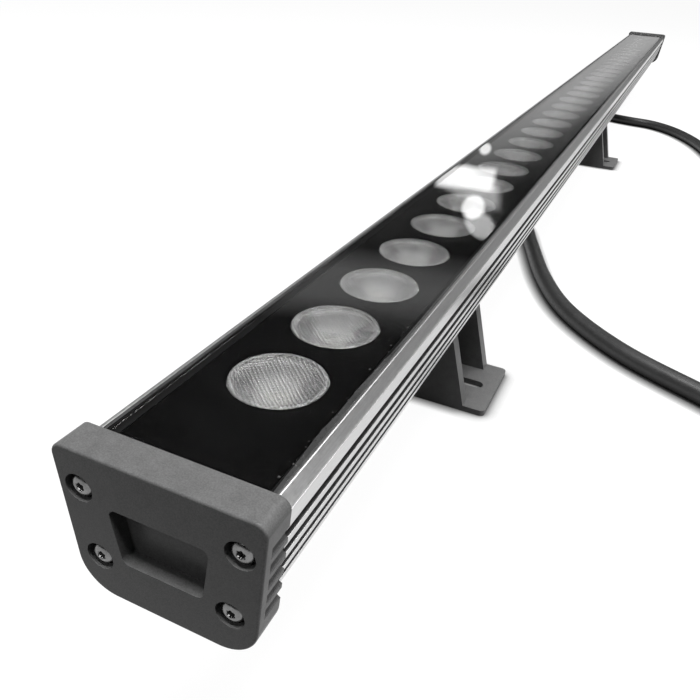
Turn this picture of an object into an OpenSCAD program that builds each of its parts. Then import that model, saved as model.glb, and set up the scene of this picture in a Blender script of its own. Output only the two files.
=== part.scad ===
// Outdoor wall washer light: a finned extrusion with one row of lenses under a
// glass strip, two die-cast end caps, its lead, and two stands that slide along
// a rail under the housing and tilt about a bolt that runs along the lamp.
// X is across the lamp, Y along it and Z up. The origin is on the ground, under
// the middle of the lamp.

/* [Lamp] */
// Overall length over both end caps
lamp_len = 1000; // [900:10:1200]
// Height of the housing's underside above the ground
housing_lift = 44.2; // [43.6:0.2:60]
// Distance from one lens to the next
lens_pitch = 27.78; // [27:0.01:34]
// Least distance from a cap's outer face to the centre of the first lens
lens_margin = 40; // [38:1:60]

/* [Housing] */
// Width over the flanks at the rim
rim_w = 43; // [42:0.5:50]
// Width over the flanks at the underside
sole_w = 37.4; // [36.4:0.2:41]
// Height from the underside to the rim
housing_h = 31.5; // [31:0.5:38]
// Radius of the two lower edges
sole_r = 8.5; // [7.5:0.5:9.5]
// Wall behind the fins
wall_t = 1.9; // [1.6:0.1:2.4]
// Wall of the underside
floor_t = 2.4; // [1.8:0.1:3]
// Depth of the grooves between the fins
fin_depth = 1.9; // [1.2:0.1:2.2]
// Distance from fin to fin
fin_pitch = 4.6; // [4.2:0.1:5]
// Height of each groove
groove_h = 2.5; // [2:0.1:2.8]
// Radius of the flanks' inward bow below the plain band
flank_r = 97; // [80:1:200]
// Height of the plain band above the first groove
band_h = 4.5; // [3.5:0.1:5]
// Height of the sloping shoulder between the rim and the plain band
shoulder_h = 2.2; // [1.8:0.1:3]
// Distance that the shoulder leans in
shoulder_in = 2.2; // [1.5:0.1:2.6]
// Width and depth of the shadow line under the shoulder
shadow_w = 0.5; // [0.3:0.1:0.6]
// Thickness of the lip that frames the glass
lip_t = 0.8; // [0.6:0.1:1.2]
// Width of the ledge under the glass
ledge_w = 3.5; // [3:0.1:4]
// Thickness of that ledge
ledge_t = 2.4; // [1.8:0.1:2.8]
// Thickness of the shelf that carries the boards
shelf_t = 2; // [1.5:0.1:2.5]

/* [Rail] */
// Width of the rail's mouth
mouth_w = 8.8; // [8:0.1:9.6]
// Width of the rail's slot
slot_w = 15.2; // [14:0.1:16]
// Height of the rail's slot
slot_h = 4.2; // [3.8:0.1:4.4]
// Thickness of the rail's lips
rail_lip_t = 2.2; // [1.8:0.1:2.4]
// Thickness of the rail's roof
roof_t = 1.4; // [1.2:0.1:1.6]
// Thickness of the rail's side walls
rail_wall_t = 2.1; // [1.6:0.1:2.4]

/* [Glass] */
// Thickness of the glass
glass_t = 3; // [2.5:0.1:4]
// Depth of the glass below the rim
glass_sink = 0.2; // [0:0.1:0.4]
// Gap between the glass and its frame
glass_gap = 0.2; // [0.1:0.1:0.4]
// Width of the seal under the glass
seal_w = 1.9; // [1.6:0.1:2.2]
// Thickness of that seal
seal_t = 1.1; // [1:0.1:1.5]
// Thickness of the black lens mask
mask_t = 1; // [0.6:0.1:1]

/* [Lenses and boards] */
// Diameter of a lens over its flange
lens_d = 21.9; // [19:0.1:22.4]
// Height of a lens
lens_h = 9.9; // [9:0.1:10.5]
// Thickness of the lens's flange
flange_t = 1.5; // [1:0.1:2]
// Depth of the lens's face below the mask's face
lens_sink = 0.4; // [0.2:0.1:0.6]
// Height of the lens above the board
lens_stand = 1.2; // [1:0.1:1.6]
// Width of the boards
board_w = 26; // [24:0.5:27]
// Thickness of the boards
board_t = 1.6; // [1:0.1:2]

/* [End caps] */
// Thickness of a cap
cap_t = 7.6; // [7:0.1:10]
// Thickness of the gasket behind it
gasket_t = 1; // [0.6:0.1:1.5]
// Distance that the cap stands above the rim
cap_rise = 1.5; // [1:0.1:3]
// Distance that the cap stands out at the flanks
cap_over = 0.9; // [0.4:0.1:1.5]
// Distance that the cap stands out below
cap_under = 1.4; // [0.6:0.1:2]
// Radius of the cap's upper corners
cap_corner_r = 2.4; // [1.6:0.1:5]
// Rounding of the cap's front edge
cap_edge_r = 0.5; // [0.3:0.1:1.2]
// Depth of the pocket in the cap's face
pocket_depth = 3.4; // [2:0.1:3.8]
// Height of the pocket
pocket_h = 12.8; // [12.4:0.1:13.4]
// Width of the pocket at its top
pocket_top_w = 21.8; // [19:0.1:23]
// Width of the pocket at its bottom
pocket_bottom_w = 17.6; // [15:0.1:18]
// Distance from ridge to ridge on the cap's sides
rib_pitch = 3.9; // [3.6:0.1:4.2]

/* [Stands] */
// Length of a stand along the lamp
stand_len = 36; // [34:1:44]
// Width of the foot plate
foot_w = 50; // [46:1:52]
// Thickness of the foot plate
foot_t = 2.4; // [2:0.1:4]
// Width of an ear at the foot
ear_w = 34; // [28:1:36]
// Thickness of an ear
ear_t = 5.4; // [3:0.1:6]
// Radius of an ear's round top
ear_r = 8.2; // [8:0.1:9]
// Height of the pivot above the ground
pivot_h = 30.5; // [29:0.1:31]
// Diameter of the pivot bolt
pivot_d = 6; // [5:0.5:6]
// Width of a foot slot
foot_slot_w = 5; // [4:0.1:6]
// End-to-end length of a foot slot
foot_slot_len = 11; // [8:0.5:12]
// Distance between the centres of a foot's two slots
foot_slot_gap = 28; // [26:0.5:32]
// From the near cap's face to the middle of the near stand
near_stand_in = 175; // [120:5:220]
// From the far cap's face to the middle of the far stand
far_stand_in = 410; // [380:5:430]

/* [Lead] */
// Diameter of the lead
cable_d = 8.5; // [7:0.1:8.5]
// Diameter of the connector's coupling nut
plug_nut_d = 18.4; // [17.8:0.2:18.4]

/* [Hidden] */
$fn = 48;

// Overrun of a cut past the face that it opens
cut = 1;
// Gap between pieces that slide or turn on each other
play = 0.3;
// Gap between a shaft and its bore
running_gap = 0.06;
// Gap around a screw in a clearance hole
screw_gap = 0.25;
// Gap around the lead's moulding in its pocket
boot_gap = 0.1;

// Shape of the flank, measured upwards from the underside
// Half width of the straight side line, which the caps and the band follow
function side_half(z) = (sole_w + (rim_w - sole_w) * z / housing_h) / 2;
function arc(cx, cz, r, a0, a1, steps) = [
    for (i = [0:steps]) let (a = a0 + (a1 - a0) * i / steps)
        [cx + r * cos(a), cz + r * sin(a)]
];
function mirrored(points) = concat(
    points, [for (i = [len(points) - 1:-1:0]) [-points[i].x, points[i].y]]
);
// A flat-topped outline with leaning sides and four round corners
function section(half_low, half_high, z_low, z_high, r_low, r_high) =
    let (
        lean = atan((half_high - half_low) / (z_high - z_low)),
        low_x = half_low + r_low * tan(lean) - r_low / cos(lean),
        high_x = half_high - r_high * tan(lean) - r_high / cos(lean)
    )
    mirrored(concat(
        arc(low_x, z_low + r_low, r_low, -90, -lean, 6),
        arc(high_x, z_high - r_high, r_high, -lean, 90, 5)
    ));

// Lengths along the lamp
housing_len = lamp_len - 2 * (cap_t + gasket_t);
lens_count = 2 * floor(((lamp_len - 2 * lens_margin) / lens_pitch + 1) / 2);
lens_ys = [for (i = [0:lens_count - 1]) (i - (lens_count - 1) / 2) * lens_pitch];
near_stand_y = -lamp_len / 2 + near_stand_in;
far_stand_y = lamp_len / 2 - far_stand_in;
// Gap between each end of the glass and the gasket
glass_end_gap = 0.3;

// Heights above the underside
glass_top = housing_h - glass_sink;
glass_z = glass_top - glass_t;
ledge_z = glass_z - seal_t;
mask_top = ledge_z + mask_t;
lens_top = mask_top - lens_sink;
lens_z = lens_top - lens_h;
board_top = lens_z - lens_stand;
shelf_z = board_top - board_t;
shoulder_z = housing_h - shoulder_h;
band_z = shoulder_z - shadow_w - band_h;
rail_top = rail_lip_t + slot_h + roof_t;

// Half width over the fins, which bow in below the band
function flank_half(z) =
    side_half(z) - pow(max(0, band_z - z), 2) / (2 * flank_r);

// Half widths
lip_half = rim_w / 2 - shoulder_in;
rebate_half = lip_half - lip_t;
glass_half = rebate_half - glass_gap;
seal_half = glass_half - seal_w;
mask_half = seal_half - glass_gap;
inside = fin_depth + wall_t;

// Lowest groove's least height above the underside
fin_stop = 6;
groove_count = floor((band_z - groove_h - fin_stop) / fin_pitch) + 1;

// Screw channels for the caps
channel_r = 2.7;
tap_r = 1.25;
channel_in = 4.5;
channel_down = 7.1;
channel_low_in = 4.2;
channel_low_up = 8.5;
channel_places = [
    [rim_w / 2 - channel_in, housing_h - channel_down],
    [sole_w / 2 - channel_low_in, channel_low_up]
];

// Cap screws
screw_head_r = 2.7;
screw_head_h = 1.9;
screw_sink = 0.6;
screw_r = 1.45;
thread_root_r = 1.2;
thread_len = 9;
drive_r = 1.2;
drive_depth = 1.2;
counterbore_r = screw_head_r + screw_gap + screw_gap / 2;
counterbore_depth = screw_sink + screw_head_h;

// Cap details
pocket_r = 1.6;
pocket_up = 9.4;
rib_groove_w = 2.7;
rib_depth = 1.1;
rib_start = 2;
rib_top = 25.5;
rib_count = 5;
gasket_in = 0.6;
gasket_band = 7.5;

// Lead entry, on the pocket's middle
entry_z = pocket_up + pocket_h / 2;
stem_r = 5.9;
stem_bore_r = 4.4;
stem_len = 16;
locknut_w = 14;
locknut_t = 4;
end_clear = 14;
boot_len = 36;
collar_r = 9.5;
collar_t = 3;
boot_base_r = 7.4;
boot_tip_r = 5.5;
boot_ring_w = 1.5;
boot_ring_pitch = 4;
boot_ring_depth = 0.9;
boot_ring_count = 6;

// Boards
board_gap = 1;
lenses_per_screw = 6;
board_screw_head_r = 2.4;
board_screw_head_h = 1.6;
middle_pair = lens_count / 2 - 1;
chip_x = 9;
chip_w = 5;
chip_len = 3.6;
chip_h = 1.5;
link_r = 0.6;
link_len = 8;
link_xs = [-9, -7, 8];
terminal_w = 14;
terminal_len = 6.5;
terminal_h = 6.4;
core_r = 1.05;
core_gap = 2.5;
core_up = 2.1;
core_reach = 9;

// Lenses and their holders
lens_r = lens_d / 2;
mask_hole_r = lens_r + 0.2;
cone_top_r = lens_r - 1.25;
cone_low_r = 4.6;
led_pocket_r = 2.8;
led_pocket_h = 3.2;
holder_r = lens_r + 0.15;
holder_ring_w = 1.25;
holder_ring_t = 1.6;
holder_base_w = 5.2;
holder_base_t = 0.9;
holder_leg_r = 0.8;
holder_leg_in = 1;
holder_legs = 3;
led_w = 3.5;
led_t = 0.7;
dome_r = 1.3;

// Sliders and their fasteners
slider_len = stand_len - 2 * (ear_t + play);
flange_half = 13;
slider_flange_t = 4;
barrel_half = 7.5;
barrel_r = 8;
lock_x = 9.6;
lock_r = 2;
lock_gap = 0.2;
lock_drive_r = 1.1;
lock_drive_depth = 2;
washer_t = 1.6;
washer_r = 6.2;
bolt_head_r = 5.25;
bolt_head_h = 3.3;
bolt_drive_r = 2;
bolt_drive_depth = 2;
nut_w = 10;
nut_t = 5;
bolt_tail = 1;
foot_corner_r = 2;

// Connector, measured from the lead's entry along its axis
plug_tail_len = 16;
plug_tail_r = 7.2;
plug_grip_len = 18;
plug_grip_r = 7.7;
plug_collar_len = 3;
plug_collar_r = 8.1;
plug_sleeve_len = 16;
plug_sleeve_r = 5.8;
plug_socket_r = 4.7;
plug_socket_depth = 11;
plug_bead_r = 6.3;
plug_bead_len = 1;
plug_bead_at = 3;
plug_nut_len = 16;
plug_nut_lip = 2;
plug_nut_bore_r = 7.5;
plug_pin_r = 0.8;
plug_pin_len = 6;
plug_pin_pcd_r = 2.4;
plug_flute_r = 0.7;
plug_flutes = 18;

// Route of the lead's centre, from the boot's tip to the connector
cable_sides = 10;
cable_steps = 2;
route = [
    [0, 536, 60], [0, 554, 60], [-4, 571, 57], [-12, 584, 48],
    [-24, 589, 35], [-36, 584, 22], [-44, 571, 12], [-47, 551, 6],
    [-48, 515, 4.5], [-48, 470, 4.3], [-46, 425, 4.3], [-44, 380, 4.3],
    [-38, 340, 4.3], [-24, 309, 4.3], [-4, 291, 4.3], [18, 284, 4.3],
    [40, 280, 4.3], [60, 264, 4.3], [77, 238, 4.3], [91, 205, 4.3],
    [107, 150, 4.3], [124, 94, 4.3], [139, 37, 4.3], [152, -21, 4.3],
    [163, -80, 4.3], [171, -139, 4.3], [177, -195, 4.3], [178, -234, 4.3],
    [171, -268, 4.3], [153, -293, 4.3], [127, -299, 4.3], [100, -287, 4.3],
    [67, -268, 4.3], [39, -240, 4.3], [20, -205, 4.3], [3, -158, 4.3],
    [-11, -118, 4.3], [-31, -88, 4.5], [-47, -59, 5.6], [-52, -24, 9.3]
];
plug_place = route[len(route) - 1];

function blend(a, b, c, d, t) = (
    2 * b + (c - a) * t + (2 * a - 5 * b + 4 * c - d) * t * t
    + (3 * b - a - 3 * c + d) * t * t * t
) / 2;
function stop(i) = route[max(0, min(len(route) - 1, i))];
cable_path = concat(
    [
        for (i = [0:len(route) - 2], s = [0:cable_steps - 1])
            blend(stop(i - 1), stop(i), stop(i + 1), stop(i + 2), s / cable_steps)
    ],
    [plug_place]
);
function unit(v) = v / norm(v);
function path_way(i) =
    i == 0 || i == len(cable_path) - 1
        ? [0, 1, 0]
        : unit(cable_path[i + 1] - cable_path[i - 1]);
function ring(i) =
    let (
        way = path_way(i),
        side = unit(cross(way, [0, 0, 1])),
        up = cross(side, way)
    )
    [
        for (k = [0:cable_sides - 1])
            let (a = 360 * (k + 1 / 2) / cable_sides)
                cable_path[i] + cable_d / 2 * (cos(a) * side + sin(a) * up)
    ];

// Helpers

module along(y0, y1) {
    translate([0, y1, 0])
        rotate([90, 0, 0])
            linear_extrude(height = y1 - y0)
                children();
}

module both_sides() {
    for (side = [-1, 1])
        scale([side, 1, 1])
            children();
}

module raised() {
    translate([0, 0, housing_lift])
        children();
}

module at_near_end() {
    translate([0, -lamp_len / 2, housing_lift])
        children();
}

module at_far_end() {
    mirror([0, 1, 0])
        at_near_end()
            children();
}

// A solid of revolution whose axis points along +Y
module turned(y, z) {
    translate([0, y, z])
        rotate([-90, 0, 0])
            children();
}

module channel_spots() {
    both_sides()
        for (place = channel_places)
            translate(place)
                children();
}

// Housing

// The lower edges are round and run on into the bowed flanks
sole_lean = atan(
    (rim_w - sole_w) / (2 * housing_h) + (band_z - sole_r) / flank_r
);
sole_z = sole_r * (1 - sin(sole_lean));
flank_steps = 8;

module housing_outline(inset) {
    polygon(mirrored(concat(
        arc(
            flank_half(sole_z) - sole_r * cos(sole_lean), sole_r,
            sole_r - inset, -90, -sole_lean, 8
        ),
        [
            for (i = [1:flank_steps])
                let (z = sole_z + (band_z - sole_z) * i / flank_steps)
                    [flank_half(z) - inset, z]
        ],
        [
            [flank_half(shoulder_z) - inset, shoulder_z],
            [lip_half - inset, housing_h - inset]
        ]
    )));
}

module fin_grooves() {
    both_sides() {
        for (i = [0:groove_count - 1]) {
            top = band_z - i * fin_pitch;
            translate([flank_half(top) - fin_depth, top - groove_h])
                square([fin_depth + cut, groove_h]);
        }
        translate([flank_half(shoulder_z) - shadow_w, shoulder_z - shadow_w])
            square([shadow_w + cut, shadow_w]);
    }
}

module chambers() {
    roof = ledge_z - ledge_t;
    polygon(mirrored([
        [flank_half(shelf_z) - inside, shelf_z],
        [flank_half(roof) - inside, roof]
    ]));
    chamber_top = shelf_z - shelf_t;
    polygon(section(
        flank_half(floor_t) - inside, flank_half(chamber_top) - inside,
        floor_t, chamber_top, sole_r - inside, wall_t / 2
    ));
    translate([-rebate_half, ledge_z])
        square([2 * rebate_half, housing_h]);
    mouth = rebate_half - ledge_w;
    translate([-mouth, shelf_z])
        square([2 * mouth, housing_h]);
}

module rail_slot() {
    translate([-mouth_w / 2, -cut])
        square([mouth_w, rail_lip_t + 2 * cut]);
    translate([-slot_w / 2, rail_lip_t])
        square([slot_w, slot_h]);
}

module housing_section() {
    difference() {
        union() {
            difference() {
                housing_outline(0);
                chambers();
            }
            intersection() {
                housing_outline(0);
                channel_spots()
                    circle(channel_r);
            }
            translate([-slot_w / 2 - rail_wall_t, 0])
                square([slot_w + 2 * rail_wall_t, rail_top]);
        }
        fin_grooves();
        rail_slot();
        channel_spots()
            circle(tap_r);
    }
}

// Places between two lenses, apart from the middle, where the boards meet
function between_lenses(first, stride) = [
    for (i = [first:stride:lens_count - 2])
        if (i != middle_pair) (lens_ys[i] + lens_ys[i + 1]) / 2
];
board_screw_ys = between_lenses(lenses_per_screw / 2, lenses_per_screw);
chip_ys = between_lenses(1, lenses_per_screw / 2);

module housing() {
    color([0.72, 0.73, 0.74])
        raised()
            difference() {
                along(-housing_len / 2, housing_len / 2)
                    housing_section();
                for (y = board_screw_ys)
                    translate([0, y, shelf_z - shelf_t - cut])
                        cylinder(r = tap_r, h = shelf_t + 2 * cut);
                translate([
                    -collar_r, housing_len / 2 - end_clear,
                    shelf_z - shelf_t - cut / 4
                ])
                    cube([2 * collar_r, end_clear + cut, shelf_t + cut]);
            }
}

// Glass, seal and mask

module glass_cover() {
    half_len = housing_len / 2 - glass_end_gap;
    color([0.75, 0.8, 0.82, 0.35])
        raised()
            translate([-glass_half, -half_len, glass_z])
                cube([2 * glass_half, 2 * half_len, glass_t]);
}

module glass_seal() {
    half_len = housing_len / 2 - glass_end_gap;
    color([0.12, 0.12, 0.12])
        raised()
            translate([0, 0, ledge_z])
                difference() {
                    translate([-glass_half, -half_len, 0])
                        cube([2 * glass_half, 2 * half_len, seal_t]);
                    translate([-seal_half, seal_w - half_len, -cut])
                        cube([
                            2 * seal_half, 2 * (half_len - seal_w), seal_t + 2 * cut
                        ]);
                }
}

module lens_mask() {
    half_len = housing_len / 2 - glass_end_gap - seal_w - glass_gap;
    color([0.04, 0.04, 0.04])
        raised()
            translate([0, 0, ledge_z])
                difference() {
                    translate([-mask_half, -half_len, 0])
                        cube([2 * mask_half, 2 * half_len, mask_t]);
                    for (y = lens_ys)
                        translate([0, y, -cut])
                            cylinder(r = mask_hole_r, h = mask_t + 2 * cut);
                }
}

// Optics

module one_lens() {
    flange_z = lens_h - flange_t;
    rotate_extrude()
        polygon([
            [0, led_pocket_h], [led_pocket_r, led_pocket_h],
            [led_pocket_r, 0], [cone_low_r, 0], [cone_top_r, flange_z],
            [lens_r, flange_z], [lens_r, lens_h], [0, lens_h]
        ]);
}

module lenses() {
    color([0.85, 0.87, 0.88])
        raised()
            for (y = lens_ys)
                translate([0, y, lens_z])
                    one_lens();
}

module one_holder() {
    ring_z = lens_top - flange_t - holder_ring_t - board_top;
    translate([0, 0, ring_z])
        difference() {
            cylinder(r = holder_r, h = holder_ring_t);
            translate([0, 0, -cut])
                cylinder(r = holder_r - holder_ring_w, h = holder_ring_t + 2 * cut);
        }
    difference() {
        cylinder(r = holder_r, h = holder_base_t);
        translate([0, 0, -cut])
            cylinder(r = holder_r - holder_base_w, h = holder_base_t + 2 * cut);
    }
    for (i = [0:holder_legs - 1])
        rotate(90 + i * 360 / holder_legs)
            translate([holder_r - holder_leg_in, 0, 0])
                cylinder(r = holder_leg_r, h = ring_z + holder_ring_t / 2);
}

module lens_holders() {
    color([0.9, 0.9, 0.88])
        raised()
            for (y = lens_ys)
                translate([0, y, board_top])
                    one_holder();
}

module leds() {
    color([0.95, 0.85, 0.4])
        raised()
            for (y = lens_ys)
                translate([0, y, board_top]) {
                    translate([-led_w / 2, -led_w / 2, 0])
                        cube([led_w, led_w, led_t]);
                    translate([0, 0, led_t])
                        intersection() {
                            sphere(r = dome_r);
                            translate([-dome_r, -dome_r, -led_t / 2])
                                cube([2 * dome_r, 2 * dome_r, 2 * dome_r]);
                        }
                }
}

// Boards

module led_board(y0, y1) {
    color([0.93, 0.93, 0.9])
        raised()
            difference() {
                translate([-board_w / 2, y0, shelf_z])
                    cube([board_w, y1 - y0, board_t]);
                for (y = board_screw_ys)
                    translate([0, y, shelf_z - cut])
                        cylinder(r = screw_r + screw_gap, h = board_t + 2 * cut);
            }
}

board_end = housing_len / 2 - end_clear;

module near_led_board() {
    led_board(-board_end, -board_gap / 2);
}

module far_led_board() {
    led_board(board_gap / 2, board_end);
}

module board_screws() {
    color([0.8, 0.8, 0.78])
        raised()
            for (y = board_screw_ys)
                translate([0, y, 0]) {
                    translate([0, 0, board_top])
                        cylinder(r = board_screw_head_r, h = board_screw_head_h);
                    translate([0, 0, shelf_z - shelf_t])
                        cylinder(r = thread_root_r, h = shelf_t + board_t);
                }
}

module board_drivers() {
    color([0.1, 0.1, 0.1])
        raised()
            for (y = chip_ys)
                translate([chip_x - chip_w / 2, y - chip_len / 2, board_top])
                    cube([chip_w, chip_len, chip_h]);
}

module board_links() {
    color([0.7, 0.1, 0.08])
        raised()
            for (x = link_xs)
                translate([x, 0, 0])
                    turned(-link_len / 2, board_top + link_r)
                        cylinder(r = link_r, h = link_len);
}

module supply_terminal() {
    color([0.15, 0.4, 0.2])
        raised()
            translate([-terminal_w / 2, board_end - terminal_len, board_top])
                cube([terminal_w, terminal_len, terminal_h]);
}

module core_wires() {
    color([0.45, 0.25, 0.1])
        raised()
            for (i = [-1:1])
                translate([i * core_gap, 0, 0])
                    turned(board_end, entry_z + core_up)
                        cylinder(r = core_r, h = core_reach);
}

// End caps and gaskets

module cap_outline(inset) {
    sole = side_half(-cap_under) + cap_over;
    crown = side_half(housing_h + cap_rise) + cap_over;
    polygon(section(
        sole - inset, crown - inset, inset - cap_under,
        housing_h + cap_rise - inset, sole_r - inset, cap_corner_r - inset
    ));
}

// Each slice of the rounded front edge is one step of a quarter turn
edge_slices = [for (a = [0, 30, 60, 90]) [1 - cos(a), 1 - sin(a)] * cap_edge_r];
slice_t = cap_edge_r / 10;

module cap_body() {
    hull()
        for (slice = edge_slices)
            along(slice.x, slice.x + slice_t)
                cap_outline(slice.y);
    along(cap_edge_r, cap_t)
        cap_outline(0);
}

module pocket_outline(inset) {
    polygon(section(
        pocket_bottom_w / 2 - inset, pocket_top_w / 2 - inset,
        pocket_up + inset, pocket_up + pocket_h - inset, pocket_r, pocket_r
    ));
}

// Radius of a round groove of the given width and depth
rib_groove_r = (rib_groove_w * rib_groove_w / 4 + rib_depth * rib_depth)
    / (2 * rib_depth);

module rib_grooves() {
    both_sides()
        for (i = [0:rib_count - 1]) {
            z = rib_top - i * rib_pitch;
            centre = side_half(z) + cap_over + rib_groove_r - rib_depth;
            translate([centre, 0, 0])
                turned(rib_start, z)
                    cylinder(r = rib_groove_r, h = cap_t);
        }
}

module end_cap() {
    color([0.3, 0.3, 0.31])
        difference() {
            cap_body();
            along(-cut, pocket_depth)
                pocket_outline(0);
            along(-cut, counterbore_depth)
                channel_spots()
                    circle(counterbore_r);
            along(-cut, cap_t + cut)
                channel_spots()
                    circle(screw_r + screw_gap);
            rib_grooves();
        }
}

module near_end_cap() {
    at_near_end()
        end_cap();
}

module far_end_cap() {
    color([0.3, 0.3, 0.31])
        at_far_end()
            difference() {
                end_cap();
                turned(-cut, entry_z)
                    cylinder(r = stem_r + screw_gap, h = cap_t + 2 * cut);
            }
}

module end_gasket() {
    color([0.08, 0.08, 0.08])
        translate([0, cap_t, 0])
            along(0, gasket_t)
                difference() {
                    housing_outline(gasket_in);
                    translate([-collar_r, rail_top])
                        square([
                            2 * collar_r, housing_h - rail_top - gasket_band
                        ]);
                    translate([-slot_w / 2, -cut])
                        square([slot_w, rail_lip_t + slot_h + cut]);
                    channel_spots()
                        circle(screw_r + screw_gap);
                }
}

module near_gasket() {
    at_near_end()
        end_gasket();
}

module far_gasket() {
    at_far_end()
        end_gasket();
}

module cap_screw() {
    head_end = screw_sink + screw_head_h;
    turned(screw_sink, 0)
        difference() {
            cylinder(r = screw_head_r, h = screw_head_h);
            translate([0, 0, -cut])
                cylinder(r = drive_r, h = drive_depth + cut, $fn = 6);
        }
    turned(head_end, 0)
        cylinder(r = screw_r, h = cap_t + gasket_t - head_end);
    turned(cap_t + gasket_t, 0)
        cylinder(r = thread_root_r, h = thread_len);
}

module cap_screws() {
    color([0.82, 0.82, 0.8])
        both_sides()
            for (place = channel_places)
                translate([place.x, 0, place.y])
                    cap_screw();
}

module near_cap_screws() {
    at_near_end()
        cap_screws();
}

module far_cap_screws() {
    at_far_end()
        cap_screws();
}

// Lead entry, from the far cap's face outwards

function boot_r(y) =
    boot_base_r
    - (boot_base_r - boot_tip_r) * (y - collar_t) / (boot_len - collar_t);

module boot_ring_cut(y) {
    turned(y, entry_z)
        difference() {
            cylinder(r = collar_r, h = boot_ring_w);
            translate([0, 0, -cut])
                cylinder(r = boot_r(y) - boot_ring_depth, h = boot_ring_w + 2 * cut);
        }
}

module cable_boot() {
    color([0.07, 0.07, 0.07])
        raised()
            translate([0, lamp_len / 2, 0])
                difference() {
                    union() {
                        along(-pocket_depth, 0)
                            pocket_outline(boot_gap);
                        turned(0, entry_z)
                            rotate_extrude()
                                polygon([
                                    [0, 0], [collar_r, 0], [collar_r, collar_t],
                                    [boot_base_r, collar_t],
                                    [boot_tip_r, boot_len], [0, boot_len]
                                ]);
                    }
                    turned(-pocket_depth - cut, entry_z)
                        cylinder(r = stem_r + running_gap, h = pocket_depth + cut);
                    for (i = [0:boot_ring_count - 1])
                        boot_ring_cut(2 * collar_t + i * boot_ring_pitch);
                }
}

module boot_stem() {
    color([0.8, 0.65, 0.3])
        raised()
            translate([0, lamp_len / 2 - stem_len, 0])
                difference() {
                    turned(0, entry_z)
                        cylinder(r = stem_r, h = stem_len);
                    turned(-cut, entry_z)
                        cylinder(r = stem_bore_r, h = stem_len + 2 * cut);
                }
}

module boot_locknut() {
    color([0.8, 0.65, 0.3])
        raised()
            difference() {
                turned(lamp_len / 2 - cap_t - locknut_t, entry_z)
                    cylinder(
                        r = locknut_w / 2 / cos(30), h = locknut_t, $fn = 6
                    );
                turned(lamp_len / 2 - cap_t - locknut_t - cut, entry_z)
                    cylinder(r = stem_r + running_gap / 2, h = locknut_t + 2 * cut);
            }
}

// Lead and connector

module supply_cable() {
    rings = len(cable_path);
    points = [for (i = [0:rings - 1]) each ring(i)];
    walls = [
        for (i = [0:rings - 2], k = [0:cable_sides - 1])
            let (
                a = i * cable_sides + k,
                b = i * cable_sides + (k + 1) % cable_sides
            )
            each [
                [a, a + cable_sides, b + cable_sides],
                [a, b + cable_sides, b]
            ]
    ];
    start = [for (k = [0:cable_sides - 1]) k];
    finish = [
        for (k = [cable_sides - 1:-1:0]) (rings - 1) * cable_sides + k
    ];
    color([0.06, 0.06, 0.06])
        polyhedron(points = points, faces = concat([start], walls, [finish]));
}

module at_plug(along_axis) {
    translate([plug_place.x, plug_place.y + along_axis, plug_place.z])
        rotate([-90, 0, 0])
            children();
}

plug_front = plug_tail_len + plug_grip_len + plug_collar_len;

module plug_body() {
    grip_end = plug_tail_len + plug_grip_len;
    bead_z = plug_front + plug_bead_at;
    color([0.07, 0.07, 0.07])
        difference() {
            at_plug(0)
                rotate_extrude()
                    polygon([
                        [0, 0], [boot_tip_r, 0], [plug_tail_r, plug_tail_len],
                        [plug_grip_r, plug_tail_len], [plug_grip_r, grip_end],
                        [plug_collar_r, grip_end], [plug_collar_r, plug_front],
                        [plug_sleeve_r, plug_front], [plug_sleeve_r, bead_z],
                        [plug_bead_r, bead_z + plug_bead_len / 2],
                        [plug_sleeve_r, bead_z + plug_bead_len],
                        [plug_sleeve_r, plug_front + plug_sleeve_len],
                        [0, plug_front + plug_sleeve_len]
                    ]);
            at_plug(plug_front + plug_sleeve_len - plug_socket_depth)
                cylinder(r = plug_socket_r, h = plug_socket_depth + cut);
        }
}

module plug_nut() {
    color([0.07, 0.07, 0.07])
        at_plug(plug_front + play)
            difference() {
                cylinder(d = plug_nut_d, h = plug_nut_len);
                translate([0, 0, -cut])
                    cylinder(r = plug_sleeve_r + running_gap, h = plug_nut_len);
                translate([0, 0, plug_nut_lip])
                    cylinder(r = plug_nut_bore_r, h = plug_nut_len);
                for (i = [0:plug_flutes - 1])
                    rotate(i * 360 / plug_flutes)
                        translate([plug_nut_d / 2, 0, -cut])
                            cylinder(r = plug_flute_r, h = plug_nut_len + 2 * cut);
            }
}

module plug_pins() {
    color([0.85, 0.7, 0.35])
        at_plug(plug_front + plug_sleeve_len - plug_socket_depth)
            for (i = [0:2])
                rotate(i * 360 / 3)
                    translate([plug_pin_pcd_r, 0, 0])
                        cylinder(r = plug_pin_r, h = plug_pin_len);
}

// Stands

module rounded_plate(w, l, r) {
    translate([-w / 2 + r, -l / 2])
        square([w - 2 * r, l]);
    translate([-w / 2, -l / 2 + r])
        square([w, l - 2 * r]);
    for (x = [-1, 1], y = [-1, 1])
        translate([x * (w / 2 - r), y * (l / 2 - r)])
            circle(r);
}

module foot_slot() {
    reach = (foot_slot_len - foot_slot_w) / 2;
    translate([-reach, -foot_slot_w / 2])
        square([2 * reach, foot_slot_w]);
    for (side = [-1, 1])
        translate([side * reach, 0])
            circle(foot_slot_w / 2);
}

// The ear's sides run from the foot to its round top, which they touch
ear_lean = acos(ear_r / norm([ear_w / 2, pivot_h])) - atan(pivot_h / (ear_w / 2));

module ear_outline() {
    difference() {
        polygon(concat(
            [[-ear_w / 2, 0], [ear_w / 2, 0]],
            arc(0, pivot_h, ear_r, ear_lean, 180 - ear_lean, 14)
        ));
        translate([0, pivot_h])
            circle(pivot_d / 2 + 2 * running_gap);
    }
}

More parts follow.
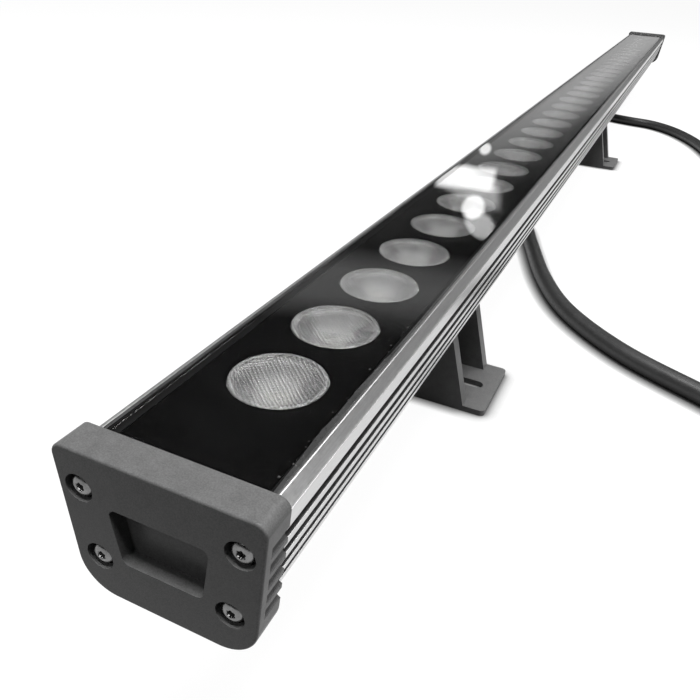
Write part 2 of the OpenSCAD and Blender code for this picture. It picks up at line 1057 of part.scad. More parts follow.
module stand_at(y) {
    inner = stand_len / 2 - ear_t;
    color([0.33, 0.33, 0.34])
        translate([0, y, 0]) {
            linear_extrude(height = foot_t)
                difference() {
                    rounded_plate(foot_w, stand_len, foot_corner_r);
                    for (side = [-1, 1])
                        translate([side * foot_slot_gap / 2, 0])
                            foot_slot();
                }
            along(-stand_len / 2, -inner)
                ear_outline();
            along(inner, stand_len / 2)
                ear_outline();
        }
}

pivot_drop = housing_lift - pivot_h;

module slider_outline() {
    tenon_half = slot_w / 2 - play;
    neck_half = mouth_w / 2 - play;
    translate([-tenon_half, rail_lip_t + play])
        square([2 * tenon_half, slot_h - 2 * play]);
    translate([-neck_half, -slider_flange_t])
        square([2 * neck_half, slider_flange_t + rail_lip_t + slot_h / 2]);
    translate([-flange_half, -play - slider_flange_t])
        square([2 * flange_half, slider_flange_t]);
    translate([-barrel_half, -pivot_drop])
        square([2 * barrel_half, pivot_drop - 2 * play]);
    translate([0, -pivot_drop])
        circle(barrel_r);
}

module slider_at(y) {
    color([0.6, 0.6, 0.61])
        translate([0, y, housing_lift])
            difference() {
                along(-slider_len / 2, slider_len / 2)
                    difference() {
                        slider_outline();
                        translate([0, -pivot_drop])
                            circle(pivot_d / 2 + running_gap);
                    }
                for (side = [-1, 1])
                    translate([side * lock_x, 0, -slider_flange_t - cut])
                        cylinder(
                            r = lock_r + running_gap / 2,
                            h = slider_flange_t + 2 * cut
                        );
            }
}

module lock_screws_at(y) {
    color([0.25, 0.25, 0.26])
        translate([0, y, housing_lift])
            for (side = [-1, 1])
                translate([side * lock_x, 0, -slider_flange_t - lock_gap])
                    difference() {
                        cylinder(r = lock_r, h = slider_flange_t);
                        translate([0, 0, -cut])
                            cylinder(
                                r = lock_drive_r, h = lock_drive_depth + cut, $fn = 6
                            );
                    }
}

module pivot_bolt_at(y) {
    head_y = -stand_len / 2 - washer_t - bolt_head_h;
    tail_y = stand_len / 2 + washer_t + nut_t + bolt_tail;
    color([0.8, 0.8, 0.8])
        translate([0, y, 0])
            difference() {
                union() {
                    turned(head_y, pivot_h)
                        cylinder(r = bolt_head_r, h = bolt_head_h);
                    turned(head_y + bolt_head_h / 2, pivot_h)
                        cylinder(
                            d = pivot_d, h = tail_y - head_y - bolt_head_h / 2
                        );
                }
                turned(head_y - cut, pivot_h)
                    cylinder(r = bolt_drive_r, h = bolt_drive_depth + cut, $fn = 6);
            }
}

module pivot_washers_at(y) {
    color([0.75, 0.75, 0.75])
        translate([0, y, 0])
            for (face = [-stand_len / 2 - washer_t, stand_len / 2])
                difference() {
                    turned(face, pivot_h)
                        cylinder(r = washer_r, h = washer_t);
                    turned(face - cut, pivot_h)
                        cylinder(
                            r = pivot_d / 2 + running_gap, h = washer_t + 2 * cut
                        );
                }
}

module pivot_nut_at(y) {
    face = stand_len / 2 + washer_t;
    color([0.75, 0.75, 0.75])
        translate([0, y, 0])
            difference() {
                turned(face, pivot_h)
                    cylinder(r = nut_w / 2 / cos(30), h = nut_t, $fn = 6);
                turned(face - cut, pivot_h)
                    cylinder(r = pivot_d / 2 + running_gap / 2, h = nut_t + 2 * cut);
            }
}

module near_stand() { stand_at(near_stand_y); }
module near_slider() { slider_at(near_stand_y); }
module near_lock_screws() { lock_screws_at(near_stand_y); }
module near_pivot_bolt() { pivot_bolt_at(near_stand_y); }
module near_pivot_washers() { pivot_washers_at(near_stand_y); }
module near_pivot_nut() { pivot_nut_at(near_stand_y); }
module far_stand() { stand_at(far_stand_y); }
module far_slider() { slider_at(far_stand_y); }
module far_lock_screws() { lock_screws_at(far_stand_y); }
module far_pivot_bolt() { pivot_bolt_at(far_stand_y); }
module far_pivot_washers() { pivot_washers_at(far_stand_y); }
module far_pivot_nut() { pivot_nut_at(far_stand_y); }

housing();
glass_cover();
glass_seal();
lens_mask();
lenses();
lens_holders();
leds();
near_led_board();
far_led_board();
board_screws();
board_drivers();
board_links();
supply_terminal();
core_wires();
near_end_cap();
far_end_cap();
near_gasket();
far_gasket();
near_cap_screws();
far_cap_screws();
cable_boot();
boot_stem();
boot_locknut();
supply_cable();
plug_body();
plug_nut();
plug_pins();
near_stand();
near_slider();
near_lock_screws();
near_pivot_bolt();
near_pivot_washers();
near_pivot_nut();
far_stand();
far_slider();
far_lock_screws();
far_pivot_bolt();
far_pivot_washers();
far_pivot_nut();
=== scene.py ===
"""Looks of the outdoor wall washer light.

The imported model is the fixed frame. Each sub-assembly below is a class that holds
its sizes, in metres, builds its meshes where the frame has them and dresses them.
"""

from __future__ import annotations

import logging
import math
import random
from dataclasses import dataclass
from enum import Enum
from typing import Callable, List, Mapping, Optional, Sequence, Tuple, Union

import bmesh
import bpy
from mathutils import Matrix, Vector

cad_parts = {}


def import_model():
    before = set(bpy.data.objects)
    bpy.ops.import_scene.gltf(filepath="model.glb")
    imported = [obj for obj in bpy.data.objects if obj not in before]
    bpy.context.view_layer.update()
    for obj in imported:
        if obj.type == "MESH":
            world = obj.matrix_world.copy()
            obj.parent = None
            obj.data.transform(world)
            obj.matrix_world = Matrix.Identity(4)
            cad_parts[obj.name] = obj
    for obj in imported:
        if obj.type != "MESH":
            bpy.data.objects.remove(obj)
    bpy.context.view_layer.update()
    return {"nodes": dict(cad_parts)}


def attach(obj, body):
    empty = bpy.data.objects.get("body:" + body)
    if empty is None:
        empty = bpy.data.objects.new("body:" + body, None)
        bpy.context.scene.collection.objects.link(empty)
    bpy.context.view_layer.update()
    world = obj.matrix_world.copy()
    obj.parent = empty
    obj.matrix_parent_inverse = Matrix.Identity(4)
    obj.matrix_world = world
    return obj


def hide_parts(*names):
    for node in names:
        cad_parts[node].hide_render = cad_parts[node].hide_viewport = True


LOG = logging.getLogger("wall_washer")

MM = 0.001
LAMP_BODY = "lamp"

Point = Tuple[float, float]
Place = Tuple[float, float, float]
Loop = List[Point]
Value = Union[float, bpy.types.NodeSocket]
Colour = Union[Place, bpy.types.NodeSocket]
Inputs = Mapping[Union[int, str], object]

UNIT: Point = (0.0, 1.0)

# Where most of a noise lies
MOST_NOISE: Point = (0.3, 0.7)

BLACK: Place = (0.0, 0.0, 0.0)
WHITE: Place = (1.0, 1.0, 1.0)


class End(Enum):
    """The two ends of the lamp. The value is the sign of Y there."""

    NEAR = -1
    FAR = 1

    @property
    def label(self) -> str:
        """Name of the end, as the frame's nodes use it."""
        return self.name.lower()


class Cut(Enum):
    """What a boolean does to its target."""

    REMOVE = "DIFFERENCE"
    JOIN = "UNION"


class Closing(Enum):
    """How a solid that is drawn through rings of points begins and ends."""

    POINTED = "a tip"
    FLAT = "a face"
    RING = "at its own start"


# Outlines


def arc(cx: float, cz: float, radius: float, start: float, stop: float, steps: int) -> Loop:
    """Points along a round stretch.

    Args:
        cx: Centre across.
        cz: Centre up.
        radius: Radius of the stretch.
        start: First angle, in degrees.
        stop: Last angle, in degrees.
        steps: Number of chords.

    Returns:
        The points, both ends included.
    """
    angles = [math.radians(start + (stop - start) * i / steps) for i in range(steps + 1)]
    return [(cx + radius * math.cos(a), cz + radius * math.sin(a)) for a in angles]


def circle(cx: float, cz: float, radius: float, steps: int = 40) -> Loop:
    """A closed round loop.

    Args:
        cx: Centre across.
        cz: Centre up.
        radius: Radius of the loop.
        steps: Number of points.

    Returns:
        The loop, without a repeated point.
    """
    return arc(cx, cz, radius, 0, 360, steps)[:-1]


def mirrored(points: Loop) -> Loop:
    """The points followed by their mirror images, back to front.

    Args:
        points: One half of an outline, from the bottom upwards.

    Returns:
        The whole outline.
    """
    return points + [(-x, z) for x, z in reversed(points)]


def section(
    half_low: float,
    half_high: float,
    z_low: float,
    z_high: float,
    r_low: float,
    r_high: float,
    steps: int,
) -> Loop:
    """A flat-topped outline with leaning sides and four round corners.

    Args:
        half_low: Half width at the bottom, before rounding.
        half_high: Half width at the top, before rounding.
        z_low: Height of the bottom.
        z_high: Height of the top.
        r_low: Radius of the lower corners.
        r_high: Radius of the upper corners.
        steps: Chords in each corner.

    Returns:
        The outline.
    """
    lean = math.atan((half_high - half_low) / (z_high - z_low))
    low_x = half_low + r_low * math.tan(lean) - r_low / math.cos(lean)
    high_x = half_high - r_high * math.tan(lean) - r_high / math.cos(lean)
    lean_deg = math.degrees(lean)
    return mirrored(
        arc(low_x, z_low + r_low, r_low, -90, -lean_deg, steps)
        + arc(high_x, z_high - r_high, r_high, -lean_deg, 90, steps)
    )


def eased(points: Loop, radius: float, blunt: float = 160.0, edge_share: float = 0.45) -> Loop:
    """Rounds every sharp corner of a closed outline by a small radius.

    Args:
        points: The outline.
        radius: How far back from the corner the rounding starts, at most.
        blunt: A corner that is more open than this, in degrees, stays as it is.
        edge_share: Most of an edge that one rounding may take.

    Returns:
        The outline with three points in place of each sharp corner.
    """
    out: Loop = []
    count = len(points)
    for i, (x, z) in enumerate(points):
        before = Vector(points[i - 1]) - Vector((x, z))
        after = Vector(points[(i + 1) % count]) - Vector((x, z))
        turn = math.degrees(before.angle(after, math.pi))
        if turn > blunt:
            out.append((x, z))
            continue
        reach = min(radius, before.length * edge_share, after.length * edge_share)
        first = Vector((x, z)) + before.normalized() * reach
        last = Vector((x, z)) + after.normalized() * reach
        middle = (first + last) / 4 + Vector((x, z)) / 2
        out += [tuple(first), tuple(middle), tuple(last)]
    return out


# Meshes


def new_object(name: str, mesh: bpy.types.Mesh) -> bpy.types.Object:
    """Puts a mesh into the scene.

    Args:
        name: Name of the object and its mesh.
        mesh: The mesh.

    Returns:
        The object, at the origin.
    """
    mesh.name = name
    obj = bpy.data.objects.new(name, mesh)
    bpy.context.scene.collection.objects.link(obj)
    return obj


def smooth(obj: bpy.types.Object, angle: float) -> bpy.types.Object:
    """Shades an object smooth, with edges sharper than an angle kept crisp.

    Args:
        obj: The object.
        angle: The angle, in degrees.

    Returns:
        The same object.
    """
    mesh = obj.data
    mesh.polygons.foreach_set("use_smooth", [True] * len(mesh.polygons))
    mesh.set_sharp_from_angle(angle=math.radians(angle))
    step = obj.modifiers.new("flat_faces", "WEIGHTED_NORMAL")
    step.mode = "FACE_AREA"
    step.weight = 50
    step.keep_sharp = True
    return obj


def from_bmesh(name: str, shape: bmesh.types.BMesh) -> bpy.types.Object:
    """Turns a bmesh into an object with outward normals.

    Args:
        name: Name of the object.
        shape: The bmesh, which is freed.

    Returns:
        The object.
    """
    bmesh.ops.recalc_face_normals(shape, faces=shape.faces)
    mesh = bpy.data.meshes.new(name)
    shape.to_mesh(mesh)
    shape.free()
    return new_object(name, mesh)


def bake(obj: bpy.types.Object) -> None:
    """Replaces an object's mesh with the result of its modifiers.

    Args:
        obj: The object.
    """
    graph = bpy.context.evaluated_depsgraph_get()
    result = bpy.data.meshes.new_from_object(obj.evaluated_get(graph))
    obj.modifiers.clear()
    old = obj.data
    obj.data = result
    bpy.data.meshes.remove(old)


def boolean(target: bpy.types.Object, tool: bpy.types.Object, cut: Cut) -> None:
    """Cuts or joins one solid with another, which is used up.

    Args:
        target: The solid that stays.
        tool: The solid that is used up.
        cut: What is done.
    """
    step = target.modifiers.new("boolean", "BOOLEAN")
    step.operation = cut.value
    step.solver = "EXACT"
    step.use_self = True
    step.object = tool
    bake(target)
    mesh = tool.data
    bpy.data.objects.remove(tool)
    bpy.data.meshes.remove(mesh)


def soften(obj: bpy.types.Object, width: float, segments: int, angle: float) -> None:
    """Rounds the edges of a solid that are sharper than an angle.

    Args:
        obj: The solid.
        width: Width of the rounding.
        segments: Faces across it.
        angle: The angle, in degrees.
    """
    step = obj.modifiers.new("soften", "BEVEL")
    step.width = width
    step.segments = segments
    step.limit_method = "ANGLE"
    step.angle_limit = math.radians(angle)
    step.miter_outer = "MITER_ARC"
    step.use_clamp_overlap = True
    bake(obj)


def place(obj: bpy.types.Object, matrix: Matrix) -> bpy.types.Object:
    """Moves an object's mesh and leaves the object at the origin.

    Args:
        obj: The object.
        matrix: Where its mesh goes.

    Returns:
        The same object.
    """
    obj.data.transform(matrix)
    if matrix.determinant() < 0:
        obj.data.flip_normals()
    return obj


def plate(name: str, loops: Sequence[Loop], depth: float, edge: float = 0.0) -> bpy.types.Object:
    """A flat plate with holes, in the XY plane, with its thickness about Z = 0.

    Args:
        name: Name of the object.
        loops: The outline and the holes.
        depth: Thickness.
        edge: Width of the rounding along its edges.

    Returns:
        The plate.
    """
    curve = bpy.data.curves.new(name, "CURVE")
    curve.dimensions = "2D"
    curve.fill_mode = "BOTH"
    curve.extrude = depth / 2 - edge
    curve.bevel_depth = edge
    curve.bevel_resolution = 1
    curve.offset = -edge
    for loop in loops:
        spline = curve.splines.new("POLY")
        spline.points.add(len(loop) - 1)
        for point, (x, y) in zip(spline.points, loop):
            point.co = (x, y, 0, 1)
        spline.use_cyclic_u = True
    holder = bpy.data.objects.new(name, curve)
    bpy.context.scene.collection.objects.link(holder)
    graph = bpy.context.evaluated_depsgraph_get()
    mesh = bpy.data.meshes.new_from_object(holder.evaluated_get(graph))
    bpy.data.objects.remove(holder)
    bpy.data.curves.remove(curve)
    shape = bmesh.new()
    shape.from_mesh(mesh)
    bpy.data.meshes.remove(mesh)
    bmesh.ops.remove_doubles(shape, verts=shape.verts, dist=0.001 * MM)
    return from_bmesh(name, shape)


def along(name: str, loops: Sequence[Loop], y0: float, y1: float, edge: float = 0.0) -> bpy.types.Object:
    """A solid whose outline lies in XZ and which runs along Y.

    Args:
        name: Name of the object.
        loops: The outline and the holes, as (x, z).
        y0: Where it starts.
        y1: Where it stops.
        edge: Width of the rounding at both ends.

    Returns:
        The solid.
    """
    obj = plate(name, loops, y1 - y0, edge)
    upright = Matrix.Translation((0, (y0 + y1) / 2, 0)) @ Matrix.Rotation(math.pi / 2, 4, "X")
    return place(obj, upright)


def drawn(name: str, rings: Sequence[Sequence[Place]], closing: Closing) -> bpy.types.Object:
    """A solid drawn through rings of points. A ring of one point is a tip.

    Args:
        name: Name of the object.
        rings: The rings, from one end to the other.
        closing: How it begins and ends.

    Returns:
        The solid.
    """
    shape = bmesh.new()
    rows = [[shape.verts.new(spot) for spot in ring] for ring in rings]
    around = max(len(row) for row in rows)
    following = rows[1:] + rows[:1] if closing is Closing.RING else rows[1:]
    for low, high in zip(rows, following):
        for k in range(around):
            n = (k + 1) % around
            corners = (low[k % len(low)], low[n % len(low)], high[n % len(high)], high[k % len(high)])
            shape.faces.new(list(dict.fromkeys(corners)))
    if closing is Closing.FLAT:
        shape.faces.new(rows[0])
        shape.faces.new(list(reversed(rows[-1])))
    return from_bmesh(name, shape)


def round_rings(
    profile: Sequence[Point], segments: int, shape_at: Optional[Callable[[int, float], float]] = None
) -> List[List[Place]]:
    """The rings that a profile leaves when it turns about Z.

    Args:
        profile: (radius, height) of each ring. A radius of 0 gives a tip.
        segments: Points in a ring.
        shape_at: Share of the radius that a profile point has at an angle, for flutes.

    Returns:
        The rings.
    """
    angles = [2 * math.pi * k / segments for k in range(segments)]
    rings: List[List[Place]] = []
    for i, (radius, height) in enumerate(profile):
        if radius <= 0:
            rings.append([(0, 0, height)])
            continue
        reaches = [radius * (shape_at(i, a) if shape_at else 1.0) for a in angles]
        rings.append([(r * math.cos(a), r * math.sin(a), height) for r, a in zip(reaches, angles)])
    return rings


def turned(
    name: str,
    profile: Sequence[Point],
    segments: int,
    shape_at: Optional[Callable[[int, float], float]] = None,
) -> bpy.types.Object:
    """A turned solid about Z.

    Args:
        name: Name of the object.
        profile: (radius, height) from one end to the other; both ends lie on the axis.
        segments: Faces around it.
        shape_at: Share of the radius that a profile point has at an angle, for flutes.

    Returns:
        The solid.
    """
    return drawn(name, round_rings(profile, segments, shape_at), Closing.POINTED)


def drum(name: str, radius: float, start: float, stop: float, segments: int) -> bpy.types.Object:
    """A plain round cutter about Z.

    Args:
        name: Name of the object.
        radius: Its radius.
        start: Height of its lower face.
        stop: Height of its upper face.
        segments: Faces around it.

    Returns:
        The cutter.
    """
    return turned(name, [(0, start), (radius, start), (radius, stop), (0, stop)], segments)


def fluted(rings: Sequence[int], count: int, depth: float, power: int) -> Callable[[int, float], float]:
    """The share of its radius that a turned piece keeps where it is fluted.

    Args:
        rings: Numbers of the profile's points that are fluted.
        count: Flutes around it.
        depth: Depth of a flute, as a share of the radius.
        power: 1 for flutes as wide as the ribs, and more for narrower ones.

    Returns:
        The function that turned() asks for.
    """

    def share(i: int, angle: float) -> float:
        """Share of the radius at a profile point and an angle."""
        if i not in rings:
            return 1.0
        return 1 - depth * (0.5 + 0.5 * math.cos(count * angle)) ** power

    return share


def toward_y(x: float, y: float, z: float) -> Matrix:
    """Lays a turned solid's axis along Y, so that its height runs towards +Y.

    Args:
        x: Where its origin goes, across.
        y: Where its origin goes, along.
        z: Where its origin goes, up.

    Returns:
        The matrix.
    """
    return Matrix.Translation((x, y, z)) @ Matrix.Rotation(-math.pi / 2, 4, "X")


def joined(name: str, parts: Sequence[bpy.types.Object]) -> bpy.types.Object:
    """Makes one object of several separate solids, with their materials.

    Args:
        name: Name of the object.
        parts: The solids, which are used up.

    Returns:
        The object.
    """
    shape = bmesh.new()
    for part in parts:
        shape.from_mesh(part.data)
        mesh = part.data
        bpy.data.objects.remove(part)
        bpy.data.meshes.remove(mesh)
    mesh = bpy.data.meshes.new(name)
    shape.to_mesh(mesh)
    shape.free()
    return new_object(name, mesh)


def in_row(obj: bpy.types.Object, count: int, pitch: float) -> None:
    """Repeats an object along Y.

    Args:
        obj: The first one.
        count: How many there are.
        pitch: From one to the next.
    """
    step = obj.modifiers.new("row", "ARRAY")
    step.count = count
    step.use_relative_offset = False
    step.use_constant_offset = True
    step.constant_offset_displace = (0, pitch, 0)


def dress(obj: bpy.types.Object, material: bpy.types.Material) -> None:
    """Gives every face of an object one material.

    Args:
        obj: The object.
        material: The material.
    """
    obj.data.materials.clear()
    obj.data.materials.append(material)


def settle(
    obj: bpy.types.Object, material: bpy.types.Material, body: str, slot: str, *nodes: str
) -> None:
    """Dresses a piece and lets it ride on a body and stand for CAD nodes.

    Args:
        obj: The piece.
        material: Its finish.
        body: The body that it rides on.
        slot: A material slot's name; not used.
        nodes: The CAD nodes that it replaces.
    """
    dress(obj, material)
    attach(obj, body)
    if nodes:
        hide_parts(*nodes)
    LOG.info("%s rides on %s and stands for %s", obj.name, body, ", ".join(nodes) or "nothing")


# Finishes


class Graph:
    """Builds the nodes of one material or world."""

    def __init__(self, tree: bpy.types.NodeTree) -> None:
        """Starts with an empty tree.

        Args:
            tree: The node tree.
        """
        self.tree = tree
        tree.nodes.clear()

    def add(self, kind: str, inputs: Optional[Inputs] = None, **settings: object) -> bpy.types.Node:
        """Adds a node.

        Args:
            kind: The node's type, such as ShaderNodeMath.
            inputs: Socket name or number to a value or to another node's output.
            settings: The node's own settings.

        Returns:
            The node.
        """
        node = self.tree.nodes.new(kind)
        for key, value in settings.items():
            setattr(node, key, value)
        for key, value in (inputs or {}).items():
            if isinstance(value, bpy.types.NodeSocket):
                self.tree.links.new(value, node.inputs[key])
            else:
                node.inputs[key].default_value = value
        return node

    def wire(self, node: bpy.types.Node, **sources: bpy.types.NodeSocket) -> None:
        """Links outputs to a node's named sockets.

        Args:
            node: The node.
            sources: Socket name, with underscores for spaces, to the output.
        """
        for key, source in sources.items():
            self.tree.links.new(source, node.inputs[key.replace("_", " ")])

    def output(self, kind: str, result: bpy.types.NodeSocket) -> None:
        """Adds the output node.

        Args:
            kind: Its type.
            result: What it shows.
        """
        self.tree.links.new(result, self.add(kind).inputs[0])

    def math(self, operation: str, a: Value, b: Value = 0.0) -> bpy.types.NodeSocket:
        """One sum.

        Args:
            operation: The operation's name.
            a: First value or output.
            b: Second value or output.

        Returns:
            The result's output.
        """
        return self.add("ShaderNodeMath", {0: a, 1: b}, operation=operation).outputs[0]

    def plus(self, a: Value, b: Value) -> bpy.types.NodeSocket:
        """Adds two values."""
        return self.math("ADD", a, b)

    def less(self, a: Value, b: Value) -> bpy.types.NodeSocket:
        """Takes the second value from the first."""
        return self.math("SUBTRACT", a, b)

    def times(self, a: Value, b: Value) -> bpy.types.NodeSocket:
        """Multiplies two values."""
        return self.math("MULTIPLY", a, b)

    def most(self, a: Value, b: Value) -> bpy.types.NodeSocket:
        """The larger of two values."""
        return self.math("MAXIMUM", a, b)

    def weighed(self, first: Value, second: Value, share: float) -> bpy.types.NodeSocket:
        """The mean of two values, in which the second one has some share."""
        return self.plus(self.times(first, 1 - share), self.times(second, share))

    def axes(self, where: bpy.types.NodeSocket) -> Sequence[bpy.types.NodeSocket]:
        """X, Y and Z of a vector."""
        return self.add("ShaderNodeSeparateXYZ", {0: where}).outputs

    def gloss(self, noise: bpy.types.NodeSocket, roughness: float, wear: Point) -> bpy.types.NodeSocket:
        """A roughness that varies with a noise.

        Args:
            noise: The noise.
            roughness: The roughness at its middle.
            wear: How far the roughness goes down and up from there.

        Returns:
            The roughness's output.
        """
        return self.span(noise, MOST_NOISE, (roughness - wear[0], roughness + wear[1]))

    def coords(self, scale: Place = (1, 1, 1)) -> bpy.types.NodeSocket:
        """Places on the object, in its own metres, stretched.

        Args:
            scale: Stretch along X, Y and Z.

        Returns:
            The vector's output.
        """
        spot = self.add("ShaderNodeTexCoord").outputs["Object"]
        mapping = self.add("ShaderNodeMapping", {"Vector": spot})
        mapping.inputs["Scale"].default_value = scale
        return mapping.outputs[0]

    def noise(self, where: bpy.types.NodeSocket, scale: float, detail: float = 3.0) -> bpy.types.NodeSocket:
        """Soft noise from 0 to 1.

        Args:
            where: The places.
            scale: Spots in a metre.
            detail: Finer layers.

        Returns:
            The noise's output.
        """
        values = {"Vector": where, "Scale": scale, "Detail": detail}
        return self.add("ShaderNodeTexNoise", values).outputs["Fac"]

    def span(self, value: bpy.types.NodeSocket, source: Point, target: Point) -> bpy.types.NodeSocket:
        """Maps one range to another, held at both ends.

        Args:
            value: The value.
            source: Its range.
            target: The new range.

        Returns:
            The new value's output.
        """
        values = {0: value, 1: source[0], 2: source[1], 3: target[0], 4: target[1]}
        return self.add("ShaderNodeMapRange", values).outputs[0]

    def tint(self, factor: bpy.types.NodeSocket, low: Colour, high: Colour) -> bpy.types.NodeSocket:
        """Blends two colours.

        Args:
            factor: 0 for the first, 1 for the second.
            low: The first colour or its output.
            high: The second colour or its output.

        Returns:
            The colour's output.
        """
        mix = self.add("ShaderNodeMix", {"Factor": factor}, data_type="RGBA")
        for key, colour in (("A", low), ("B", high)):
            if isinstance(colour, bpy.types.NodeSocket):
                self.tree.links.new(colour, mix.inputs[key])
            else:
                mix.inputs[key].default_value = (*colour, 1)
        return mix.outputs["Result"]

    def bump(self, height: bpy.types.NodeSocket, depth: float) -> bpy.types.NodeSocket:
        """Small relief.

        Args:
            height: Height from 0 to 1.
            depth: What 1 stands for, in metres.

        Returns:
            The normal's output.
        """
        return self.add("ShaderNodeBump", {"Height": height, "Distance": depth, "Strength": 1.0}).outputs[0]


def grey(level: float) -> Place:
    """A neutral colour.

    Args:
        level: Its linear lightness.

    Returns:
        The colour.
    """
    return (level, level, level)


def surface(name: str, **values: object) -> Tuple[bpy.types.Material, Graph, bpy.types.Node]:
    """A material with one principled shader.

    Args:
        name: Name of the material.
        values: Socket name, with underscores for spaces, to its constant value.

    Returns:
        The material, its graph and its shader.
    """
    material = bpy.data.materials.new(name)
    material.use_nodes = True
    graph = Graph(material.node_tree)
    shader = graph.add("ShaderNodeBsdfPrincipled")
    for key, value in values.items():
        shader.inputs[key.replace("_", " ")].default_value = value
    graph.output("ShaderNodeOutputMaterial", shader.outputs[0])
    return material, graph, shader


def let_lamps_through(graph: Graph, shader: bpy.types.Node, share: float) -> None:
    """Lets the lamps reach what is behind a clear piece.

    Args:
        graph: The material's graph.
        shader: Its principled shader.
        share: How much of their light gets through.
    """
    clear = graph.add("ShaderNodeBsdfTransparent", {"Color": (share, share, share, 1)})
    lamps = graph.add("ShaderNodeLightPath").outputs["Is Shadow Ray"]
    mix = graph.add("ShaderNodeMixShader", {0: lamps, 1: shader.outputs[0], 2: clear.outputs[0]})
    output = next(n for n in graph.tree.nodes if n.type == "OUTPUT_MATERIAL")
    graph.tree.links.new(mix.outputs[0], output.inputs[0])


@dataclass(frozen=True)
class PowderCoat:
    """Baked powder paint with a fine orange-peel texture."""

    name: str
    level: float
    roughness: float
    grain: float = 0.28 * MM
    relief: float = 0.012 * MM
    patches_per_grain: float = 0.1
    patchiness: float = 0.3
    noise_span: Point = (0.34, 0.66)
    contrast: Point = (0.8, 1.2)
    wear: Point = (0.06, 0.06)
    shine: float = 0.06
    coat: float = 0.05
    coat_roughness: float = 0.2

    def make(self) -> bpy.types.Material:
        """The material."""
        material, graph, shader = surface(
            self.name,
            Metallic=0.0,
            IOR=1.5,
            Specular_IOR_Level=self.shine,
            Coat_Weight=self.coat,
            Coat_Roughness=self.coat_roughness,
        )
        where = graph.coords()
        fine = graph.noise(where, 1 / self.grain, detail=2.0)
        patches = graph.noise(where, self.patches_per_grain / self.grain)
        tone = graph.span(graph.weighed(fine, patches, self.patchiness), self.noise_span, self.contrast)
        colour = graph.tint(graph.times(tone, self.level), BLACK, WHITE)
        gloss = graph.gloss(patches, self.roughness, self.wear)
        graph.wire(shader, Base_Color=colour, Roughness=gloss, Normal=graph.bump(fine, self.relief))
        return material


@dataclass(frozen=True)
class DrawnMetal:
    """Extruded aluminium with fine die lines along Y, and on the housing a painted shade that darkens the
    grooves between the fins.
    """

    name: str
    level: float
    roughness: float = 0.34
    line: float = 0.16 * MM
    line_stretch: Place = (1, 0.01, 1)
    rubs_per_line: float = 0.6
    rub_stretch: Place = (1, 0.25, 1)
    rubbing: float = 0.4
    noise_span: Point = (0.32, 0.68)
    wear: Point = (0.04, 0.05)
    darkest: float = 0.82
    brightness: float = 1.1
    relief: float = 0.006 * MM
    groove_shade_tone: float = 0.07
    groove_depths: Point = (0.2 * MM, 1.6 * MM)
    groove_edge: float = 0.1 * MM
    # The housing whose fin grooves get the painted shade; None for plain metal
    housing: Optional["Housing"] = None

    def make(self) -> bpy.types.Material:
        """The material."""
        material, graph, shader = surface(self.name, Metallic=1.0, Anisotropic=0.35)
        lines = graph.noise(graph.coords(self.line_stretch), 1 / self.line, detail=2.0)
        rubs = graph.noise(graph.coords(self.rub_stretch), self.rubs_per_line / self.line, detail=4.0)
        both = graph.weighed(lines, rubs, self.rubbing)
        tone = graph.span(both, self.noise_span, (self.darkest, 1.0))
        # On the housing, the tone is darkened by painted shade in the grooves between the fins
        if self.housing:
            tone = graph.times(tone, self.painted_groove_shade(graph, self.housing))
        colour = graph.tint(tone, BLACK, grey(self.level * self.brightness))
        gloss = graph.gloss(rubs, self.roughness, self.wear)
        graph.wire(shader, Base_Color=colour, Roughness=gloss, Normal=graph.bump(lines, self.relief))
        return material

    def painted_groove_shade(self, graph: Graph, housing: "Housing") -> bpy.types.NodeSocket:
        """Painted shade: the metal's colour darkens towards the roots of the grooves between the fins, where
        shade falls.

        Args:
            graph: The graph.
            housing: The housing.

        Returns:
            1 on the open faces, close to 0 at the grooves' roots.
        """
        x, _, height = graph.axes(graph.coords())
        z = graph.less(height, housing.lift)
        line = graph.span(z, (0.0, housing.height), (housing.sole_w / 2, housing.rim_w / 2))
        below = graph.most(graph.less(housing.band_z, z), 0.0)
        bow = graph.math("DIVIDE", graph.times(below, below), 2 * housing.flank_r)
        depth = graph.less(graph.less(line, bow), graph.math("ABSOLUTE", x))
        shade = graph.span(depth, self.groove_depths, (1.0, self.groove_shade_tone))
        low = housing.band_z - (housing.groove_count - 1) * housing.fin_pitch - housing.groove_h
        edge = self.groove_edge
        above = graph.span(z, (housing.band_z, housing.band_z + edge), UNIT)
        under = graph.span(z, (low - 2 * edge, low - edge), (1.0, 0.0))
        return graph.most(shade, graph.most(above, under))


@dataclass(frozen=True)
class MachinedMetal:
    """Turned or sawn metal with faint scratches."""

    name: str
    colour: Place
    roughness: float = 0.28
    scratch: float = 0.3 * MM
    stretch: Place = (1, 0.3, 1)
    relief: float = 0.004 * MM
    stains_per_scratch: float = 0.2
    stain_span: Point = (0.35, 0.65)
    stain_tone: float = 0.72
    wear: Point = (0.08, 0.12)

    def make(self) -> bpy.types.Material:
        """The material."""
        material, graph, shader = surface(self.name, Metallic=1.0)
        marks = graph.noise(graph.coords(self.stretch), 1 / self.scratch, detail=4.0)
        stains = graph.noise(graph.coords(), self.stains_per_scratch / self.scratch)
        dark = tuple(c * self.stain_tone for c in self.colour)
        colour = graph.tint(graph.span(stains, self.stain_span, UNIT), dark, self.colour)
        gloss = graph.gloss(marks, self.roughness, self.wear)
        graph.wire(shader, Base_Color=colour, Roughness=gloss, Normal=graph.bump(marks, self.relief))
        return material


